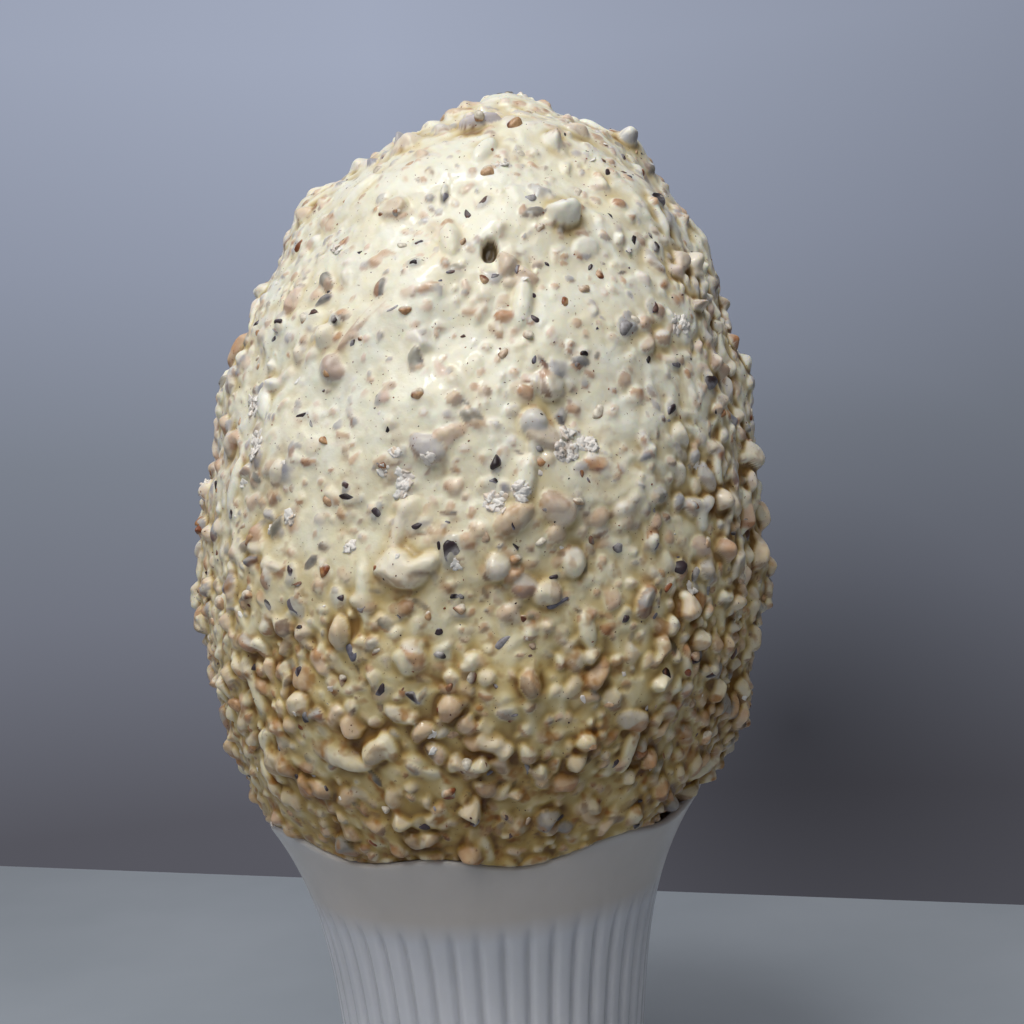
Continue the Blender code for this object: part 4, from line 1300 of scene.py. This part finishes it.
CRUMB_TONES = ((0.93, 0.91, 0.87), (0.88, 0.83, 0.79), (0.80, 0.66, 0.52))
CRUMB_SHADES = (0.88, 0.86, 0.84)


def coat_at(latitude, turn):
    """Points and normals of the made chocolate at directions, from the nearest corner of the nearest side."""
    way = around(np.cos(latitude), turn, np.sin(latitude))
    points, normals = np.zeros_like(way), np.zeros_like(way)
    best = np.full(len(way), -2.0)
    for side, axes in SIDES.items():
        made, square = coats[side]
        most = np.array(made.shape[:2]) - 1
        depth, column, row = place_on_side(way, axes, most[1], most[0])
        row, column = (np.clip(np.rint(place), 0, end).astype(int) for place, end in zip((row, column), most))
        here = depth > best
        best = np.where(here, depth, best)
        points[here] = made[row, column][here]
        normals[here] = square[row, column][here]
    return points, normals


def on_coat(draw, latitude, turn, spin, tilt):
    """Places and turns of pieces that lie on the chocolate, spun about its normal and tilted at random."""
    points, up = coat_at(latitude, turn)
    up = unit(up + tilt * draw.normal(size=up.shape))
    level = level_way(turn)
    level = unit(level - up * np.sum(level * up, axis=-1, keepdims=True))
    return points, spun_frames(up, level, spin)


def strewn_clear(draw, count):
    """Latitudes and turns spread over the egg with disorder, clear of the vase."""
    latitude, turn = strewn(draw, int(count * SPARE_SHARE), rise=0.1, drift=0.2)
    points, _ = coat_at(latitude, turn)
    edge = VASE_HEIGHT + lip_lift(np.arctan2(points[:, 0], -points[:, 1]))
    free = points[:, 2] > edge + LEAST_LIP_GAP
    return latitude[free], turn[free]


def chunks_of(draw, count, subdivisions, sharpness):
    """Unit chunks: balls bounded by planes, joined by a power mean that rounds their edges, as

    one over the p-th root of the sum of (cosine to the plane over its distance) to the power p.
    """
    mesh = bmesh.new()
    bmesh.ops.create_icosphere(mesh, subdivisions=subdivisions, radius=1.0)
    points = np.array([vert.co[:] for vert in mesh.verts])
    faces = np.array([[vert.index for vert in face.verts] for face in mesh.faces])
    mesh.free()
    planes = random_ways(draw, count, CHUNK_PLANES)
    away = draw.uniform(*CHUNK_REACH, (count, CHUNK_PLANES))
    cosines = np.clip(np.einsum("vk,npk->nvp", points, planes), 0.0, None) / away[:, None, :]
    gauge = np.sum(cosines ** sharpness, axis=-1) + CHUNK_BALL ** sharpness
    return points[None] * (gauge ** (-1.0 / sharpness))[..., None], faces


def covered(shapes, ways, shift, low, high):
    """Share of cover at each point of each chunk: 1 on the side that its way points to, moved by a shift."""
    return smooth(np.einsum("nvk,nk->nv", shapes, ways) + shift[:, None], low, high)


def scatter(name, finish, chunks, half, sink, lying, colours):
    """One piece of many chunks: each shape scaled, turned, and sunk by a share of its own half height."""
    (shapes, faces), (places, turned) = chunks, lying
    points = np.einsum("nij,nvj->nvi", turned, shapes * half[:, None, :])
    points += (places - turned[:, :, 2] * (sink * half[:, 2])[:, None])[:, None, :]
    count, corners = shapes.shape[:2]
    triangles = (faces[None] + np.arange(count)[:, None, None] * corners).reshape(-1, 3)
    piece = mesh_from_arrays(name, finish, points.reshape(-1, 3), triangles=triangles)
    looks = np.ones((count, corners, 4))
    looks[..., :3] = colours
    paint(piece, looks)
    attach(piece, "root")
    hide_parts("egg")


def bit_finish(name, roughness, grain_scale, grain_depth, coat=0.0, dimmest=BIT_SHADES):
    """A finish for bits: their own colours with small uneven patches, a grain, and a film of fat on top."""
    finish, tree, shader = new_material(name)
    look = add_node(tree, "ShaderNodeAttribute", attribute_name="look")
    shade = colour_ramp(noise_texture(tree, scale=1400.0), [(0.3, dimmest), (0.65, WHITE_SHADES)])
    roughen(shader, noise_texture(tree, grain_scale, detail=3.0), strength=0.5, depth=grain_depth)
    set_inputs(shader, Base_Color=times(look.outputs["Color"], shade), Roughness=roughness, IOR=1.45,
               Coat_Weight=coat, Coat_Roughness=0.2)
    return finish


def make_bare_nuts():
    """Chopped hazelnut that the chocolate has run off: tan flesh, with brown skin on one side."""
    draw = np.random.default_rng(SEED + 5)
    latitude, turn = strewn_clear(draw, BARE_NUT_COUNT)
    count = len(latitude)
    chunks = chunks_of(draw, count, subdivisions=3, sharpness=9.0)
    size = draw.uniform(*BARE_NUT_SIZES, count)
    half = size[:, None] / 2.0 * stretches(draw, count, length=1.0, widths=(0.65, 0.95), heights=(0.6, 0.85))
    lying = on_coat(draw, latitude, turn, any_spin(draw, count), tilt=0.3)
    skin_way = random_ways(draw, count)
    skinned = covered(chunks[0], skin_way, draw.uniform(-0.4, 0.25, count), 0.1, 0.25)
    flesh = blend_tones(BARE_FLESH, draw.uniform(size=count) ** 1.3)[:, None, :]
    brown = blend_tones(BARE_SKIN, draw.uniform(size=count))[:, None, :]
    film_way = np.roll(skin_way, 1, 0) + lying[1][:, 2, :]
    filmed = covered(chunks[0], film_way, draw.uniform(-1.0, 0.4, count), -0.2, 0.4)
    colours = blended(blended(flesh, brown, skinned), np.array(NUT_FILM), filmed)
    finish = bit_finish("bare_nut", roughness=0.5, grain_scale=1800.0, grain_depth=0.12 * MM, coat=0.35)
    sink = draw.uniform(0.35, 0.8, count)
    scatter("bare_nuts", finish, chunks, half, sink, lying, colours)


def make_dark_chips():
    """Dark chips: angular slivers from black over plum to red-brown, some with a film of chocolate."""
    draw = np.random.default_rng(SEED + 6)
    chips = table_columns(SEEN_CHIPS)
    dark = (chips[-1] <= BROWN_TONE) | (np.arange(len(SEEN_CHIPS)) % BROWN_CHIPS_APART == 0)
    pixels, lengths, widths, spins, tones = (column[dark] for column in chips)
    seen_latitude, seen_turn = seen_at(pixels)
    latitude, turn = strewn_clear(draw, CHIP_COUNT)
    shown = np.abs((turn + math.pi) % (2.0 * math.pi) - math.pi) < SEEN_TURN
    kept = ~shown | (draw.uniform(size=len(turn)) < SEEN_STRAYS)
    strays = int(kept.sum())
    latitude = np.concatenate([seen_latitude, latitude[kept]])
    turn = np.concatenate([seen_turn, turn[kept]])
    count = len(latitude)
    chunks = chunks_of(draw, count, subdivisions=3, sharpness=12.0)
    size = skewed(draw, strays, CHIP_SIZES, 1.3)
    length = np.concatenate([lengths * MM * SEEN_SWELL, 1.1 * size])
    width = np.concatenate([widths * MM * SEEN_SWELL, size * draw.uniform(0.4, 0.85, strays)])
    half = 0.5 * np.stack([length, width, 0.8 * width], axis=-1)
    spin = np.concatenate([np.radians(spins), any_spin(draw, strays)])
    lying = on_coat(draw, latitude, turn, spin, tilt=0.15)
    tone = np.concatenate([tones, draw.uniform(size=strays) ** 1.2])
    film = blend_tones(CHIP_FILMS, draw.uniform(size=count))[:, None, :]
    film_way = random_ways(draw, count)
    bared = draw.uniform(-0.9, 0.6, count) + LARGE_CHIP_FILM * (length > LARGE_CHIP)
    filmed = covered(chunks[0], film_way, bared, -0.1, 0.3)
    rim = 1.0 - smooth(np.abs(chunks[0][..., 2]), 0.05, 0.35)
    rim = rim * covered(chunks[0], np.roll(film_way, 1, 0), np.zeros(count), 0.0, 0.3)
    colours = blended(blend_tones(CHIP_TONES, tone)[:, None, :], np.array(CHIP_RIM), rim)
    finish = bit_finish("dark_chip", roughness=0.45, grain_scale=1500.0, grain_depth=0.12 * MM, coat=0.2)
    sink = np.concatenate([0.45 + 0.35 * tones, draw.uniform(0.35, 0.9, strays)])
    scatter("dark_chips", finish, chunks, half, sink, lying, blended(colours, film, filmed))


def make_crumbs():
    """White flaky crumbs: chunks with a rough skin, heaped at a few places and strewn singly elsewhere."""
    draw = np.random.default_rng(SEED + 8)
    latitude, turn = strewn_clear(draw, STRAY_CRUMBS)
    pixels, across, upward, heaped = table_columns(SEEN_CRUMBS)
    heaped = heaped * CRUMBS_A_COUNT
    middle_latitude, middle_turn = (np.repeat(angle, heaped) for angle in seen_at(pixels))
    side_step = draw.uniform(-0.5, 0.5, heaped.sum()) * np.repeat(across, heaped) * MM
    up_step = draw.uniform(-0.5, 0.5, heaped.sum()) * np.repeat(upward, heaped) * MM
    latitude = np.concatenate([middle_latitude + up_step / EGG_UPPER, latitude])
    turn = np.concatenate([middle_turn + side_step / (EGG_RADIUS * np.cos(middle_latitude)), turn])
    count = len(latitude)
    shapes, faces = chunks_of(draw, count, subdivisions=3, sharpness=12.0)
    offsets = draw.uniform(0.0, 50.0, (count, 1, 3))
    ragged = (0.38 * value_noise(shapes * 3.0 + offsets, 1.0, 31)
              + 0.20 * value_noise(shapes * 7.0 + offsets, 1.0, 32))
    chunks = shapes * (1.0 + ragged)[..., None], faces
    size = draw.uniform(*HEAPED_SIZES, count) * np.where(np.arange(count) < heaped.sum(), 1.0, STRAY_SIZE)
    half = size[:, None] / 2.0 * stretches(draw, count, length=1.1, widths=(0.6, 1.0), heights=(0.16, 0.36))
    lying = on_coat(draw, latitude, turn, any_spin(draw, count), tilt=0.22)
    colours = blend_tones(CRUMB_TONES, draw.uniform(size=count) ** 2.5)[:, None, :]
    finish = bit_finish("wafer_crumb", roughness=0.75, grain_scale=1700.0, grain_depth=0.25 * MM,
                        dimmest=CRUMB_SHADES)
    sink = draw.uniform(0.0, 0.5, count)
    scatter("wafer_crumbs", finish, chunks, half, sink, lying, colours)


def make_specks():
    """Dust of nut skin and dark chips on the chocolate."""
    draw = np.random.default_rng(SEED + 7)
    latitude, turn = strewn_clear(draw, SPECK_COUNT)
    count = len(latitude)
    chunks = chunks_of(draw, count, subdivisions=1, sharpness=8.0)
    size = skewed(draw, count, SPECK_SIZES, 2)
    half = size[:, None] / 2.0 * stretches(draw, count, length=1.2, widths=(0.5, 1.0), heights=0.6)
    lying = on_coat(draw, latitude, turn, any_spin(draw, count), tilt=0.2)
    colours = blend_tones(BARE_SKIN + CHIP_TONES[:1], draw.uniform(size=count))[:, None, :]
    finish = bit_finish("skin_speck", roughness=0.6, grain_scale=1500.0, grain_depth=0.05 * MM)
    scatter("skin_specks", finish, chunks, half, np.full(count, 0.2), lying, colours)


make_bare_nuts()
make_dark_chips()
make_crumbs()
make_specks()
